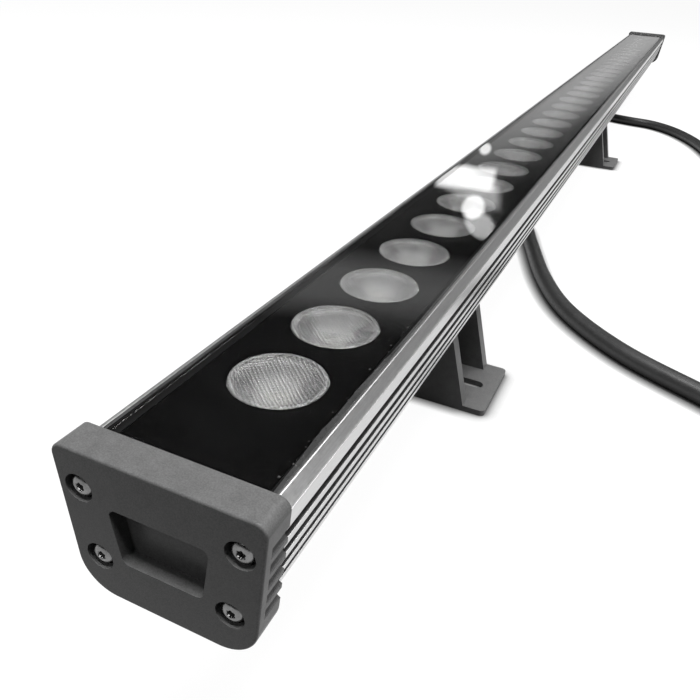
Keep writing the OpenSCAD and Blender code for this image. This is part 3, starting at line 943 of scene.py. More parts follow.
@dataclass(frozen=True)
class Moulded:
    """Moulded plastic, rubber or silicone."""

    name: str
    colour: Place
    roughness: float = 0.45
    grain: float = 0.5 * MM
    relief: float = 0.015 * MM
    spread: float = 0.2
    shine: float = 0.5
    patches_per_grain: float = 0.08
    wear: Point = (0.06, 0.08)

    def make(self) -> bpy.types.Material:
        """The material."""
        material, graph, shader = surface(
            self.name, Metallic=0.0, IOR=1.48, Specular_IOR_Level=self.shine
        )
        where = graph.coords()
        fine = graph.noise(where, 1 / self.grain)
        patches = graph.noise(where, self.patches_per_grain / self.grain)
        low = tuple(c * (1 - self.spread) for c in self.colour)
        high = tuple(min(1.0, c * (1 + self.spread)) for c in self.colour)
        colour = graph.tint(graph.span(patches, MOST_NOISE, UNIT), low, high)
        gloss = graph.gloss(fine, self.roughness, self.wear)
        graph.wire(shader, Base_Color=colour, Roughness=gloss, Normal=graph.bump(fine, self.relief))
        return material


@dataclass(frozen=True)
class ClearGlass:
    """Tempered glass with faint smudges."""

    name: str
    smudge: float = 26 * MM
    stretch: Place = (1, 0.3, 1)
    smudge_span: Point = (0.35, 0.75)
    most_rough: float = 0.04
    let_through: float = 0.94

    def make(self) -> bpy.types.Material:
        """The material."""
        material, graph, shader = surface(
            self.name, Base_Color=(*WHITE, 1), Metallic=0.0, IOR=1.5, Transmission_Weight=1.0
        )
        smudges = graph.noise(graph.coords(self.stretch), 1 / self.smudge)
        graph.wire(shader, Roughness=graph.span(smudges, self.smudge_span, (0.0, self.most_rough)))
        let_lamps_through(graph, shader, self.let_through)
        return material


@dataclass(frozen=True)
class Acrylic:
    """Clear acrylic of the lenses: a fine square grid on the face with painted dark dots for the shade seen
    through its facets, a little haze in the rest.
    """

    name: str
    level: float
    transmission: float
    roughness: float
    face: float
    cell: float = 1.25 * MM
    relief: float = 0.12 * MM
    # Range and strength of the painted dark dots that shade the face's grid
    dot_span: Point = (0.1, 0.8)
    painted_dot_shade: float = 0.95
    clear: float = 0.02
    cloud: float = 4 * MM
    contrast: Point = (0.8, 1.15)
    let_through: float = 0.85

    def make(self) -> bpy.types.Material:
        """The material."""
        material, graph, shader = surface(
            self.name, Metallic=0.0, IOR=1.49, Transmission_Weight=self.transmission
        )
        where = graph.coords()
        tone = graph.span(graph.noise(where, 1 / self.cloud, detail=2.0), MOST_NOISE, UNIT)
        colour = graph.tint(tone, *(grey(min(1.0, self.level * share)) for share in self.contrast))
        x, y, z = graph.axes(where)
        waves = [graph.math("SINE", graph.times(axis, 2 * math.pi / self.cell)) for axis in (x, y)]
        on_face = graph.span(z, (self.face - 0.1 * MM, self.face), UNIT)
        grid = graph.times(*waves)
        # Painted shade: dark dots in a square grid on the face's colour stand in for the shade seen through
        # its fine facets
        painted_dot_shade = graph.times(graph.span(grid, self.dot_span, (0.0, self.painted_dot_shade)), on_face)
        graph.wire(
            shader,
            Base_Color=graph.tint(graph.less(1.0, painted_dot_shade), BLACK, colour),
            Roughness=graph.span(on_face, UNIT, (self.clear, self.roughness)),
            Normal=graph.bump(graph.times(grid, on_face), self.relief),
        )
        let_lamps_through(graph, shader, self.let_through)
        return material


@dataclass(frozen=True)
class BoardResist:
    """White solder resist with the tracks showing through."""

    name: str
    roughness: float = 0.35
    tracks_per_metre: float = 120.0
    track_gap: float = 0.03
    relief: float = 0.03 * MM
    light: Place = (0.6, 0.6, 0.58)
    dull: Place = (0.55, 0.55, 0.53)
    gap: Place = (0.36, 0.36, 0.34)

    def make(self) -> bpy.types.Material:
        """The material."""
        material, graph, shader = surface(self.name, Metallic=0.0, Roughness=self.roughness)
        values = {"Vector": graph.coords(), "Scale": self.tracks_per_metre, "Mortar Size": self.track_gap}
        colours = {"Color1": (*self.light, 1), "Color2": (*self.dull, 1), "Mortar": (*self.gap, 1)}
        tracks = graph.add("ShaderNodeTexBrick", {**values, **colours})
        relief = graph.bump(tracks.outputs["Fac"], -self.relief)
        graph.wire(shader, Base_Color=tracks.outputs["Color"], Normal=relief)
        return material


class Finishes:
    """Every finish of the lamp, made once."""

    def __init__(self) -> None:
        """Makes the materials."""
        self.cap = PowderCoat("cap_powder", level=0.085, roughness=0.34).make()
        self.stand = PowderCoat("stand_powder", level=0.12, roughness=0.4).make()
        # The housing's metal carries painted shade in the grooves between its fins
        self.housing = DrawnMetal("housing_drawn", level=0.56, housing=Housing()).make()
        self.slider = DrawnMetal("slider_drawn", level=0.5, roughness=0.4).make()
        self.steel = MachinedMetal("screw_steel", grey(0.2), roughness=0.26).make()
        self.dark_steel = MachinedMetal("lock_screw_steel", grey(0.12), roughness=0.4).make()
        self.brass = MachinedMetal("entry_brass", (0.72, 0.55, 0.26)).make()
        self.glass = ClearGlass("strip_glass").make()
        self.silicone = Moulded(
            "silicone", grey(0.03), roughness=0.3, grain=0.9 * MM, relief=0.05 * MM, spread=0.4
        ).make()
        self.seal = Moulded("seal", grey(0.004), roughness=0.6, shine=0.1).make()
        self.mask = Moulded(
            "mask", grey(0.0015), roughness=0.85, grain=0.6 * MM, relief=0.01 * MM, shine=0.005
        ).make()
        self.lens = Acrylic(
            "lens_acrylic", level=0.46, transmission=0.92, roughness=0.1, face=71 * MM
        ).make()
        self.holder = Moulded("holder", grey(0.5), roughness=0.4, spread=0.06).make()
        self.emitter = Moulded("emitter", (0.72, 0.7, 0.62), roughness=0.2, spread=0.08).make()
        self.board = BoardResist("board_resist").make()
        self.chip = Moulded("chip", grey(0.03), roughness=0.5).make()
        self.link = Moulded("link", (0.5, 0.06, 0.05), roughness=0.4).make()
        self.terminal = Moulded("terminal", (0.08, 0.26, 0.12), roughness=0.4).make()
        self.core = Moulded("core", (0.28, 0.14, 0.07), roughness=0.4).make()
        self.gasket = Moulded("gasket", grey(0.02), roughness=0.6).make()
        self.lead = Moulded(
            "lead_sheath", grey(0.018), roughness=0.42, grain=1.2 * MM, relief=0.03 * MM
        ).make()
        self.plug = Moulded(
            "plug_nylon", grey(0.022), roughness=0.38, grain=0.4 * MM, relief=0.02 * MM
        ).make()


# Studio


@dataclass(frozen=True)
class Window:
    """A bright patch of the room, seen in the glass, with its angles in degrees."""

    azimuth: float
    elevation: float
    half_width: float
    half_height: float
    strength: float
    blur: float
    round: bool = False


@dataclass(frozen=True)
class Softbox:
    """A rectangular lamp, in metres and watts."""

    name: str
    at: Place
    to: Place
    size: Point
    power: float

    def build(self) -> None:
        """Hangs the lamp, out of the camera's sight."""
        data = bpy.data.lights.new(self.name, "AREA")
        data.shape = "RECTANGLE"
        data.size, data.size_y = self.size
        data.energy = self.power
        lamp = bpy.data.objects.new(self.name, data)
        aim = (Vector(self.to) - Vector(self.at)).to_track_quat("-Z", "Y")
        lamp.matrix_world = Matrix.Translation(self.at) @ aim.to_matrix().to_4x4()
        lamp.visible_camera = False
        bpy.context.scene.collection.objects.link(lamp)


SOFTBOXES = (
    Softbox("key", at=(0.0, -0.6, 1.5), to=(0.0, -0.45, 0.05), size=(0.9, 0.36), power=38.0),
    Softbox("back", at=(0.42, 0.5, 1.5), to=(0.1, 0.1, 0.05), size=(0.6, 1.4), power=16.0),
    Softbox("side", at=(1.6, -0.1, 0.8), to=(0.0, 0.0, 0.03), size=(0.6, 1.6), power=20.0),
    Softbox("front", at=(-0.2, -1.25, 0.95), to=(0.0, -0.5, 0.03), size=(0.35, 0.35), power=2.5),
)

WINDOWS = (
    Window(-14.6, 15.65, half_width=2.4, half_height=0.85, strength=2.6, blur=0.45),
    Window(-13.5, 18.0, half_width=0.95, half_height=0.95, strength=3.2, blur=0.3, round=True),
    Window(-13.4, 13.3, half_width=0.45, half_height=0.45, strength=2.4, blur=0.25, round=True),
    Window(-20.0, 24.9, half_width=40.0, half_height=2.0, strength=0.3, blur=2.0),
)


@dataclass
class Studio:
    """Camera, floor and light. The sky's angles are in degrees."""

    camera_at: Place = (62.59 * MM, -567.17 * MM, 155.56 * MM)
    camera_right: Place = (0.9042, 0.4229, 0.0588)
    camera_up: Place = (-0.2605, 0.4372, 0.8608)
    lens: float = 35.63
    sensor: float = 36.0
    clip: Point = (5 * MM, 60.0)
    floor_half: float = 14.0
    floor_bounce: float = 0.07
    floor_glow: float = 0.95
    # Reach and strength of the painted contact shadow on the floor's glow
    contact: float = 6 * MM
    contact_power: float = 3.0
    sky_low: float = 0.52
    sky_high: float = 0.004
    sky_slope: float = 0.9
    sky_turn: Point = (-20.0, 0.0)
    haze: Point = (2.0, 5.0)
    haze_top: Point = (9.0, 13.5)
    haze_top_share: float = 0.6
    ceiling: Point = (13.5, 16.5)
    ceiling_share: float = 0.12
    behind: Point = (-0.5, 0.4)
    behind_share: float = 0.12

    def build(self) -> None:
        """Makes the camera, the floor, the world and the lamps."""
        bpy.context.scene.view_settings.view_transform = "Standard"
        self.camera()
        self.floor()
        self.world()
        for softbox in SOFTBOXES:
            softbox.build()

    def camera(self) -> None:
        """Puts the camera where the photograph was taken."""
        right = Vector(self.camera_right).normalized()
        back = right.cross(Vector(self.camera_up)).normalized()
        up = back.cross(right)
        data = bpy.data.cameras.new("camera")
        data.lens = self.lens
        data.sensor_width = self.sensor
        data.sensor_fit = "HORIZONTAL"
        data.clip_start, data.clip_end = self.clip
        camera = bpy.data.objects.new("camera", data)
        turn = Matrix((right, up, back)).transposed().to_4x4()
        camera.matrix_world = Matrix.Translation(self.camera_at) @ turn
        bpy.context.scene.collection.objects.link(camera)
        bpy.context.scene.camera = camera

    def floor(self) -> None:
        """A pale floor whose glow carries a painted contact shadow near the object, and which keeps the
        object's shadow and throws little light back up.
        """
        shape = bmesh.new()
        bmesh.ops.create_grid(shape, x_segments=1, y_segments=1, size=self.floor_half)
        floor = from_bmesh("floor", shape)
        material = bpy.data.materials.new("floor")
        material.use_nodes = True
        graph = Graph(material.node_tree)
        bounce = graph.add("ShaderNodeBsdfDiffuse", {"Color": (*grey(self.floor_bounce), 1)})
        # Painted contact shadow: ambient occlusion darkens the floor's glow close to the object and in the
        # foot's slots
        contact_shade_ao = graph.add("ShaderNodeAmbientOcclusion", {"Distance": self.contact})
        open_share = graph.math("POWER", contact_shade_ao.outputs["AO"], self.contact_power)
        level = graph.times(graph.times(self.seen_directly(graph), open_share), self.floor_glow)
        glow = graph.add("ShaderNodeEmission", {"Strength": level, "Color": (*WHITE, 1)})
        both = graph.add("ShaderNodeAddShader", {0: bounce.outputs[0], 1: glow.outputs[0]})
        graph.output("ShaderNodeOutputMaterial", both.outputs[0])
        dress(floor, material)

    @staticmethod
    def seen_directly(graph: Graph) -> bpy.types.NodeSocket:
        """1 where the camera, a reflection or a view through glass meets the surface.

        Args:
            graph: The graph.

        Returns:
            The factor's output.
        """
        ray = graph.add("ShaderNodeLightPath").outputs
        return graph.most(ray["Is Camera Ray"], graph.most(ray["Is Glossy Ray"], ray["Is Transmission Ray"]))

    def world(self) -> None:
        """White to the camera; in the glass, a hazy horizon and windows under a dim ceiling."""
        world = bpy.data.worlds.new("world")
        bpy.context.scene.world = world
        world.use_nodes = True
        graph = Graph(world.node_tree)
        x, y, z = graph.axes(graph.add("ShaderNodeTexCoord").outputs["Generated"])
        to_degrees = 180 / math.pi
        elevation = graph.times(graph.math("ARCSINE", z), to_degrees)
        azimuth = graph.times(graph.math("ARCTAN2", x, y), to_degrees)
        away = graph.span(y, self.behind, (self.behind_share, 1.0))
        level = graph.times(self.sky(graph, azimuth, elevation), away)
        for window in WINDOWS:
            level = graph.plus(level, self.window(graph, azimuth, elevation, window))
        seen = graph.add("ShaderNodeLightPath").outputs["Is Camera Ray"]
        strength = graph.add("ShaderNodeMix", {"Factor": seen, "A": level, "B": 1.0}).outputs["Result"]
        background = graph.add("ShaderNodeBackground", {"Strength": strength, "Color": (*WHITE, 1)})
        graph.output("ShaderNodeOutputWorld", background.outputs[0])

    def sky(
        self, graph: Graph, azimuth: bpy.types.NodeSocket, elevation: bpy.types.NodeSocket
    ) -> bpy.types.NodeSocket:
        """The haze over the horizon, which leans with the azimuth, and the ceiling above it.

        Args:
            graph: The graph.
            azimuth: Azimuth of the direction, in degrees.
            elevation: Its elevation, in degrees.

        Returns:
            Their strength in that direction.
        """
        lean = graph.times(graph.span(azimuth, self.sky_turn, self.sky_turn), self.sky_slope)
        share = graph.span(graph.plus(elevation, lean), self.haze, (1.0, 0.0))
        low = graph.span(elevation, self.haze_top, (self.sky_low, self.sky_low * self.haze_top_share))
        low = graph.times(low, graph.span(elevation, self.ceiling, (1.0, self.ceiling_share)))
        return graph.plus(graph.times(share, low), self.sky_high)

    @staticmethod
    def window(
        graph: Graph, azimuth: bpy.types.NodeSocket, elevation: bpy.types.NodeSocket, window: Window
    ) -> bpy.types.NodeSocket:
        """One bright patch.

        Args:
            graph: The graph.
            azimuth: Azimuth of the direction, in degrees.
            elevation: Its elevation, in degrees.
            window: The patch.

        Returns:
            Its strength in that direction.
        """
        offs = [
            graph.math("ABSOLUTE", graph.less(value, middle))
            for value, middle in ((azimuth, window.azimuth), (elevation, window.elevation))
        ]
        halves = [window.half_width, window.half_height]
        if window.round:
            offs = [graph.math("SQRT", graph.plus(*(graph.times(off, off) for off in offs)))]
        edges = [
            graph.span(off, (half - window.blur / 2, half + window.blur / 2), (1.0, 0.0))
            for off, half in zip(offs, halves)
        ]
        inside = edges[0] if window.round else graph.times(*edges)
        return graph.times(inside, window.strength)


# Lamp body


@dataclass
class Housing:
    """The finned extrusion, whose outline the caps and the glass follow."""

    lift: float = 44.2 * MM
    length: float = 982.8 * MM
    lamp_half: float = 500 * MM
    rim_w: float = 43 * MM
    sole_w: float = 37.4 * MM
    height: float = 31.5 * MM
    sole_r: float = 8.5 * MM
    wall: float = 1.9 * MM
    floor_t: float = 2.4 * MM
    fin_depth: float = 1.9 * MM
    fin_pitch: float = 4.6 * MM
    groove_h: float = 2.5 * MM
    groove_count: int = 4
    flank_r: float = 97 * MM
    flank_steps: int = 4
    band_h: float = 4.5 * MM
    shoulder_h: float = 2.2 * MM
    shoulder_in: float = 2.2 * MM
    shadow: float = 0.5 * MM
    lip: float = 0.8 * MM
    ledge_z: float = 27.2 * MM
    ledge_w: float = 3.5 * MM
    ledge_t: float = 2.4 * MM
    shelf_z: float = 15.1 * MM
    shelf_t: float = 2 * MM
    mouth_w: float = 8.8 * MM
    slot_w: float = 15.2 * MM
    slot_h: float = 4.2 * MM
    rail_lip: float = 2.2 * MM
    rail_top: float = 7.8 * MM
    rail_wall: float = 2.1 * MM
    chamber_r: float = 3 * MM
    ease: float = 0.22 * MM
    upper_screw_in: float = 4.5 * MM
    upper_screw_down: float = 7.1 * MM
    lower_screw_in: float = 4.2 * MM
    lower_screw_up: float = 8.5 * MM

    def side(self, z: float) -> float:
        """Half width of the straight side line at a height above the underside."""
        return (self.sole_w + (self.rim_w - self.sole_w) * z / self.height) / 2

    @property
    def band_z(self) -> float:
        """Height of the plain band's lower edge."""
        return self.height - self.shoulder_h - self.shadow - self.band_h

    def flank(self, z: float) -> float:
        """Half width over the fins, which bow in below the band."""
        return self.side(z) - max(0.0, self.band_z - z) ** 2 / (2 * self.flank_r)

    def inside(self, z: float) -> float:
        """Half width between the walls."""
        return self.flank(z) - self.fin_depth - self.wall

    @property
    def rebate(self) -> float:
        """Half width of the glass rebate."""
        return self.rim_w / 2 - self.shoulder_in - self.lip

    @property
    def screw_places(self) -> List[Point]:
        """Where the cap screws go, on the +X side, above the underside."""
        return [
            (self.rim_w / 2 - self.upper_screw_in, self.height - self.upper_screw_down),
            (self.sole_w / 2 - self.lower_screw_in, self.lower_screw_up),
        ]

    def half_outline(self) -> Loop:
        """The right half of the outline, from the rail's slot round to the shelf."""
        mouth, slot = self.mouth_w / 2, self.slot_w / 2
        slot_top = self.rail_lip + self.slot_h
        points = [(slot, slot_top), (slot, self.rail_lip), (mouth, self.rail_lip), (mouth, 0.0)]
        tilt = (self.rim_w - self.sole_w) / (2 * self.height) + (self.band_z - self.sole_r) / self.flank_r
        lean = math.atan(tilt)
        corner_z = self.sole_r * (1 - math.sin(lean))
        corner_x = self.flank(corner_z) - self.sole_r * math.cos(lean)
        points += arc(corner_x, self.sole_r, self.sole_r, -90, -math.degrees(lean), steps=14)
        shoulder = self.height - self.shoulder_h
        ledge_under = self.ledge_z - self.ledge_t
        for i in reversed(range(self.groove_count)):
            top = self.band_z - i * self.fin_pitch
            low = top - self.groove_h
            start = top - self.fin_pitch if i < self.groove_count - 1 else corner_z
            for k in range(1, self.flank_steps + 1):
                z = start + (low - start) * k / self.flank_steps
                points.append((self.flank(z), z))
            root = self.flank(top) - self.fin_depth
            points += [(root, low), (root, top), (self.flank(top), top)]
        points += [
            (self.flank(shoulder - self.shadow), shoulder - self.shadow),
            (self.flank(shoulder) - self.shadow, shoulder - self.shadow),
            (self.flank(shoulder) - self.shadow, shoulder),
            (self.flank(shoulder), shoulder),
            (self.rebate + self.lip, self.height),
            (self.rebate, self.height),
            (self.rebate, self.ledge_z),
            (self.rebate - self.ledge_w, self.ledge_z),
            (self.rebate - self.ledge_w, ledge_under),
            (self.inside(ledge_under), ledge_under),
            (self.inside(self.shelf_z), self.shelf_z),
        ]
        return points

    def chamber(self) -> Loop:
        """The closed chamber round the rail, below the shelf."""
        top = self.shelf_z - self.shelf_t
        side = self.slot_w / 2 + self.rail_wall
        floor, r = self.floor_t, self.chamber_r
        corner = arc(self.inside(floor) - r, floor + r, r, -90, 0, steps=8)
        whole = mirrored([(side, floor)] + corner + [(self.inside(top), top)])
        return whole + [(-side, self.rail_top), (side, self.rail_top)]

    def build(self, finishes: Finishes) -> None:
        """Makes the extrusion.

        Args:
            finishes: The finishes.
        """
        outline = eased(mirrored(self.half_outline()), self.ease)
        half = self.length / 2
        shell = along("housing_shell", [outline, self.chamber()], -half, half)
        place(shell, Matrix.Translation((0, 0, self.lift)))
        smooth(shell, angle=30)
        settle(shell, finishes.housing, LAMP_BODY, "housing_metal", "housing")


@dataclass
class GlassStrip:
    """The glass, with the silicone along its edges and a smear of it at one place."""

    housing: Housing
    thickness: float = 3 * MM
    sink: float = 0.2 * MM
    gap: float = 0.2 * MM
    end_gap: float = 0.3 * MM
    edge: float = 0.25 * MM
    bead_w: float = 0.45 * MM
    bead_rise: float = 0.12 * MM
    bead_seed: int = 7
    long_wave: float = 9 * MM
    short_wave: float = 3.7 * MM
    plain_share: float = 0.75
    wave_share: float = 0.35
    ripple_share: float = 0.25
    ripple_kept: float = 0.6
    crest_plain: float = 0.7
    crest_ripple: float = 0.6
    shoulder_share: float = 0.8
    hem_share: float = 0.1
    smear_from: float = -489 * MM
    smear_to: float = -438 * MM
    smear_w: float = 1.1 * MM
    smear_plain: float = 0.45
    smear_lumps: float = 0.8
    step: float = 1.5 * MM
    speck_seed: int = 31
    speck_count: int = 26
    speck_r: Point = (0.08 * MM, 0.28 * MM)
    speck_in: Point = (0.6 * MM, 2.2 * MM)
    speck_past: float = 14 * MM
    speck_sink: float = 0.02 * MM
    speck_flatness: float = 0.6
    speck_wobble: float = 0.25

    def build(self, finishes: Finishes) -> None:
        """Makes the glass and its silicone.

        Args:
            finishes: The finishes.
        """
        half = self.housing.rebate - self.gap
        reach = self.housing.length / 2 - self.end_gap
        corners = [(half, -reach), (half, reach), (-half, reach), (-half, -reach)]
        glass = plate("glass_strip", [corners], self.thickness, self.edge)
        top = self.housing.lift + self.housing.height - self.sink
        place(glass, Matrix.Translation((0, 0, top - self.thickness / 2)))
        smooth(glass, angle=30)
        settle(glass, finishes.glass, LAMP_BODY, "strip_glass", "glass_cover")
        bead = joined("silicone_bead", [self.bead(side, top) for side in (-1, 1)] + self.specks(top))
        smooth(bead, angle=60)
        settle(bead, finishes.silicone, LAMP_BODY, "seal_silicone")

    def bead_width(self, side: int, y: float, ripple: float) -> float:
        """Width of the silicone at a place.

        Args:
            side: 1 on the right and -1 on the left.
            y: The place along the lamp.
            ripple: A random share from 0 to 1.

        Returns:
            The width.
        """
        wave = 0.5 + 0.5 * math.sin(y / self.long_wave) * math.sin(y / self.short_wave + side)
        width = self.bead_w * (self.plain_share + self.wave_share * wave + self.ripple_share * ripple)
        if side > 0 and self.smear_from < y < self.smear_to:
            share = (y - self.smear_from) / (self.smear_to - self.smear_from)
            lumps = self.smear_plain + self.smear_lumps * ripple * wave
            width += self.smear_w * math.sin(math.pi * share) * lumps
        return width

    def bead_section(self, width: float, ripple: float, top: float) -> Loop:
        """Outline of the silicone on the right side: low outside, a crest over the gap, a thin hem.

        Args:
            width: How far it reaches over the glass.
            ripple: A random share from 0 to 1, for the height of the crest.
            top: Height of the glass's face.

        Returns:
            The outline.
        """
        outer = self.housing.rebate
        crest = outer - self.gap
        inner = crest - width
        rise = self.bead_rise * (self.crest_plain + self.crest_ripple * ripple)
        shoulder, hem = rise * self.shoulder_share, self.bead_rise * self.hem_share
        return [
            (outer, top - self.bead_rise),
            (outer, top + shoulder),
            (crest, top + rise),
            ((inner + outer) / 2, top + shoulder),
            (inner, top + hem),
            (inner, top - hem),
            (crest, top - hem),
            (crest, top - self.bead_rise),
        ]

    def bead(self, side: int, top: float) -> bpy.types.Object:
        """The silicone along one edge of the glass.

        Args:
            side: 1 on the right and -1 on the left.
            top: Height of the glass's face.

        Returns:
            The bead.
        """
        rng = random.Random(self.bead_seed + side)
        reach = self.housing.length / 2 - 2 * self.end_gap
        count = int(2 * reach / self.step)
        ripple = 0.5
        rings = []
        for i in range(count + 1):
            y = -reach + 2 * reach * i / count
            ripple = self.ripple_kept * ripple + (1 - self.ripple_kept) * rng.random()
            spots = self.bead_section(self.bead_width(side, y, ripple), ripple, top)
            rings.append([(side * x, y, z) for x, z in spots])
        return drawn("bead", rings, Closing.FLAT)

    def specks(self, top: float) -> List[bpy.types.Object]:
        """Crumbs of silicone beside the smear.

        Args:
            top: Height of the glass's face.

        Returns:
            The crumbs.
        """

        def uneven(i: int, angle: float) -> float:
            """Share of the radius at a ring and an angle."""
            return 1 + self.speck_wobble * math.sin(3 * angle + i)

        rng = random.Random(self.speck_seed)
        crumbs = []
        for _ in range(self.speck_count):
            radius = rng.uniform(*self.speck_r)
            y = rng.uniform(self.smear_from, self.smear_to + self.speck_past)
            x = self.housing.rebate - rng.uniform(*self.speck_in)
            dome = [(0, -self.speck_sink), *arc(0, 0, radius, 0, 90, steps=4)[:-1], (0, radius)]
            profile = [(r, z * self.speck_flatness) for r, z in dome]
            crumb = turned("crumb", profile, segments=10, shape_at=uneven)
            crumbs.append(place(crumb, Matrix.Translation((x, y, top))))
        return crumbs


@dataclass
class LensRow:
    """The lenses: a cone with a pocket over the LED, a flange and a dished face."""

    housing: Housing
    count: int = 34
    pitch: float = 27.78 * MM
    radius: float = 10.95 * MM
    top: float = 28.22 * MM
    height: float = 10.32 * MM
    flange_t: float = 1.5 * MM
    flange_w: float = 1.2 * MM
    recess: float = 0.3 * MM
    bowl: float = 0.6 * MM
    cone_low: float = 4.6 * MM
    cone_bulge: Tuple[Point, ...] = ((1.9 * MM, 0.36), (3.6 * MM, 0.7))
    cone_in: float = 1.25 * MM
    pocket_r: float = 2.8 * MM
    pocket_h: float = 3.2 * MM
    pocket_tip: Point = (0.6, 0.25 * MM)
    pocket_shoulder: float = 0.9 * MM
    edge: float = 0.2 * MM
    dish_angles: Tuple[float, ...] = (0.0, 0.35, 0.7, 1.05, 1.4)
    segments: int = 96

    def build(self, finishes: Finishes) -> None:
        """Makes the lenses.

        Args:
            finishes: The finishes.
        """
        first = -self.pitch * (self.count - 1) / 2
        lens = turned("lens_row", self.profile(), self.segments)
        place(lens, Matrix.Translation((0, first, self.housing.lift + self.top - self.height)))
        smooth(lens, angle=32)
        in_row(lens, self.count, self.pitch)
        settle(lens, finishes.lens, LAMP_BODY, "lens_clear", "lenses")

    def profile(self) -> Loop:
        """Half section of one lens, standing on Z = 0, from the pocket round to the face."""
        inner = self.radius - self.flange_w
        flange_z = self.height - self.flange_t
        rim = self.height - self.recess
        tip_share, tip_down = self.pocket_tip
        return [
            (0, self.pocket_h),
            (self.pocket_r * tip_share, self.pocket_h - tip_down),
            (self.pocket_r, self.pocket_h - self.pocket_shoulder),
            (self.pocket_r, 0),
            (self.cone_low, 0),
            *((self.cone_low + out, flange_z * share) for out, share in self.cone_bulge),
            (self.radius - self.cone_in, flange_z),
            (self.radius, flange_z),
            (self.radius, self.height - self.edge),
            (self.radius - self.edge, self.height),
            (inner + self.edge, self.height),
            *((inner * math.cos(a), rim - self.bowl * math.sin(a)) for a in self.dish_angles),
            (0, rim - self.bowl),
        ]


# End caps


@dataclass
class EndCap:
    """A die-cast cap with its pocket, ribs and four screws."""

    housing: Housing
    end: End
    thickness: float = 7.6 * MM
    rise: float = 1.5 * MM
    over: float = 0.9 * MM
    under: float = 1.4 * MM
    corner_r: float = 2.4 * MM
    edge_r: float = 0.5 * MM
    edge_steps: int = 6
    ease: float = 0.28 * MM
    past: float = 1 * MM
    pocket_depth: float = 3.4 * MM
    pocket_low: float = 9.4 * MM
    pocket_h: float = 12.8 * MM
    pocket_top_w: float = 21.8 * MM
    pocket_bottom_w: float = 17.6 * MM
    pocket_r: float = 1.6 * MM
    rib_pitch: float = 3.9 * MM
    rib_groove_w: float = 2.7 * MM
    rib_depth: float = 1.1 * MM
    rib_start: float = 2 * MM
    rib_top: float = 25.5 * MM
    rib_count: int = 5
    counterbore_r: float = 3.075 * MM
    counterbore_h: float = 2.5 * MM
    hole_r: float = 1.7 * MM
    entry_r: float = 6.15 * MM
    head_r: float = 2.7 * MM
    head_h: float = 2.2 * MM
    rim_depth: float = 1.3 * MM
    sink: float = 0.3 * MM
    socket_r: float = 0.85 * MM
    lobe: float = 0.12
    shank_r: float = 1.45 * MM
    spin_per_metre: float = 900.0

    # Share of the socket's radius, and depth in millimetres
    SOCKET = ((0, 0.9), (0.86, 0.9), (0.98, 0.14), (1.1, 0))

    # The points above that have lobes
    LOBED = (1, 2, 3)

    # Radius and depth of the head's dome, in millimetres
    DOME = ((1.35, 0), (1.75, 0.14), (2.1, 0.36), (2.36, 0.66), (2.5, 0.96), (2.56, 1.2))

    # Radius of the shank and its reach past the cap's back, in millimetres
    SHANK = ((1.45, 1.0), (1.2, 1.1), (1.2, 9.6), (0.6, 10), (0, 10))

    def build(self, finishes: Finishes) -> None:
        """Makes the cap and its screws.

        Args:
            finishes: The finishes.
        """
        cap = self.body()
        boolean(cap, self.cutters(), Cut.REMOVE)
        soften(cap, self.ease, segments=2, angle=38)
        smooth(cap, angle=30)
        place(cap, self.to_end())
        settle(cap, finishes.cap, LAMP_BODY, "cap_grey", f"{self.end.label}_end_cap")
        screws = joined(f"{self.end.label}_cap_screw_set", [self.screw(x, z) for x, z in self.all_places()])
        place(screws, self.to_end())
        smooth(screws, angle=32)
        settle(screws, finishes.steel, LAMP_BODY, "screw_steel", f"{self.end.label}_cap_screws")

    def to_end(self) -> Matrix:
        """From a cap that faces -Y at Y = 0 to its place on the lamp."""
        shift = Matrix.Translation((0, -self.housing.lamp_half, self.housing.lift))
        if self.end is End.FAR:
            return Matrix.Scale(-1, 4, (0, 1, 0)) @ shift
        return shift

    def all_places(self) -> List[Point]:
        """Places of the four screws."""
        return [(side * x, z) for x, z in self.housing.screw_places for side in (-1, 1)]

    def outline(self, inset: float) -> Loop:
        """The cap's outline, drawn in by some distance.

        Args:
            inset: The distance.

        Returns:
            The outline.
        """
        sole = self.housing.side(-self.under) + self.over
        crown = self.housing.side(self.housing.height + self.rise) + self.over
        return section(
            sole - inset,
            crown - inset,
            inset - self.under,
            self.housing.height + self.rise - inset,
            self.housing.sole_r - inset,
            self.corner_r - inset,
            steps=16,
        )

    def body(self) -> bpy.types.Object:
        """The cap before it is cut: stacked outlines with a round front edge."""
        levels = []
        for i in range(self.edge_steps + 1):
            angle = math.pi / 2 * i / self.edge_steps
            levels.append((self.edge_r * (1 - math.cos(angle)), self.edge_r * (1 - math.sin(angle))))
        levels.append((self.thickness, 0.0))
        rings = [[(x, y, z) for x, z in self.outline(inset)] for y, inset in levels]
        return drawn(f"{self.end.label}_cap", rings, Closing.FLAT)

    def cutters(self) -> bpy.types.Object:
        """Everything that is cut out of the cap: pocket, screw holes, side grooves and cable entry."""
        tools = [along("pocket", [self.pocket(0)], -self.past, self.pocket_depth)]
        tools += [place(self.screw_hole(), toward_y(x, 0, z)) for x, z in self.all_places()]
        groove_r = (self.rib_groove_w**2 / 4 + self.rib_depth**2) / (2 * self.rib_depth)
        for i in range(self.rib_count):
            z = self.rib_top - i * self.rib_pitch
            x = self.housing.side(z) + self.over + groove_r - self.rib_depth
            for side in (-1, 1):
                groove = drum("rib", groove_r, 0, self.thickness, segments=32)
                tools.append(place(groove, toward_y(side * x, self.rib_start, z)))
        if self.end is End.FAR:
            middle = self.pocket_low + self.pocket_h / 2
            entry = drum("entry", self.entry_r, 0, self.thickness, segments=48)
            tools.append(place(entry, toward_y(0, self.pocket_depth - self.past / 2, middle)))
        return joined("cutters", tools)

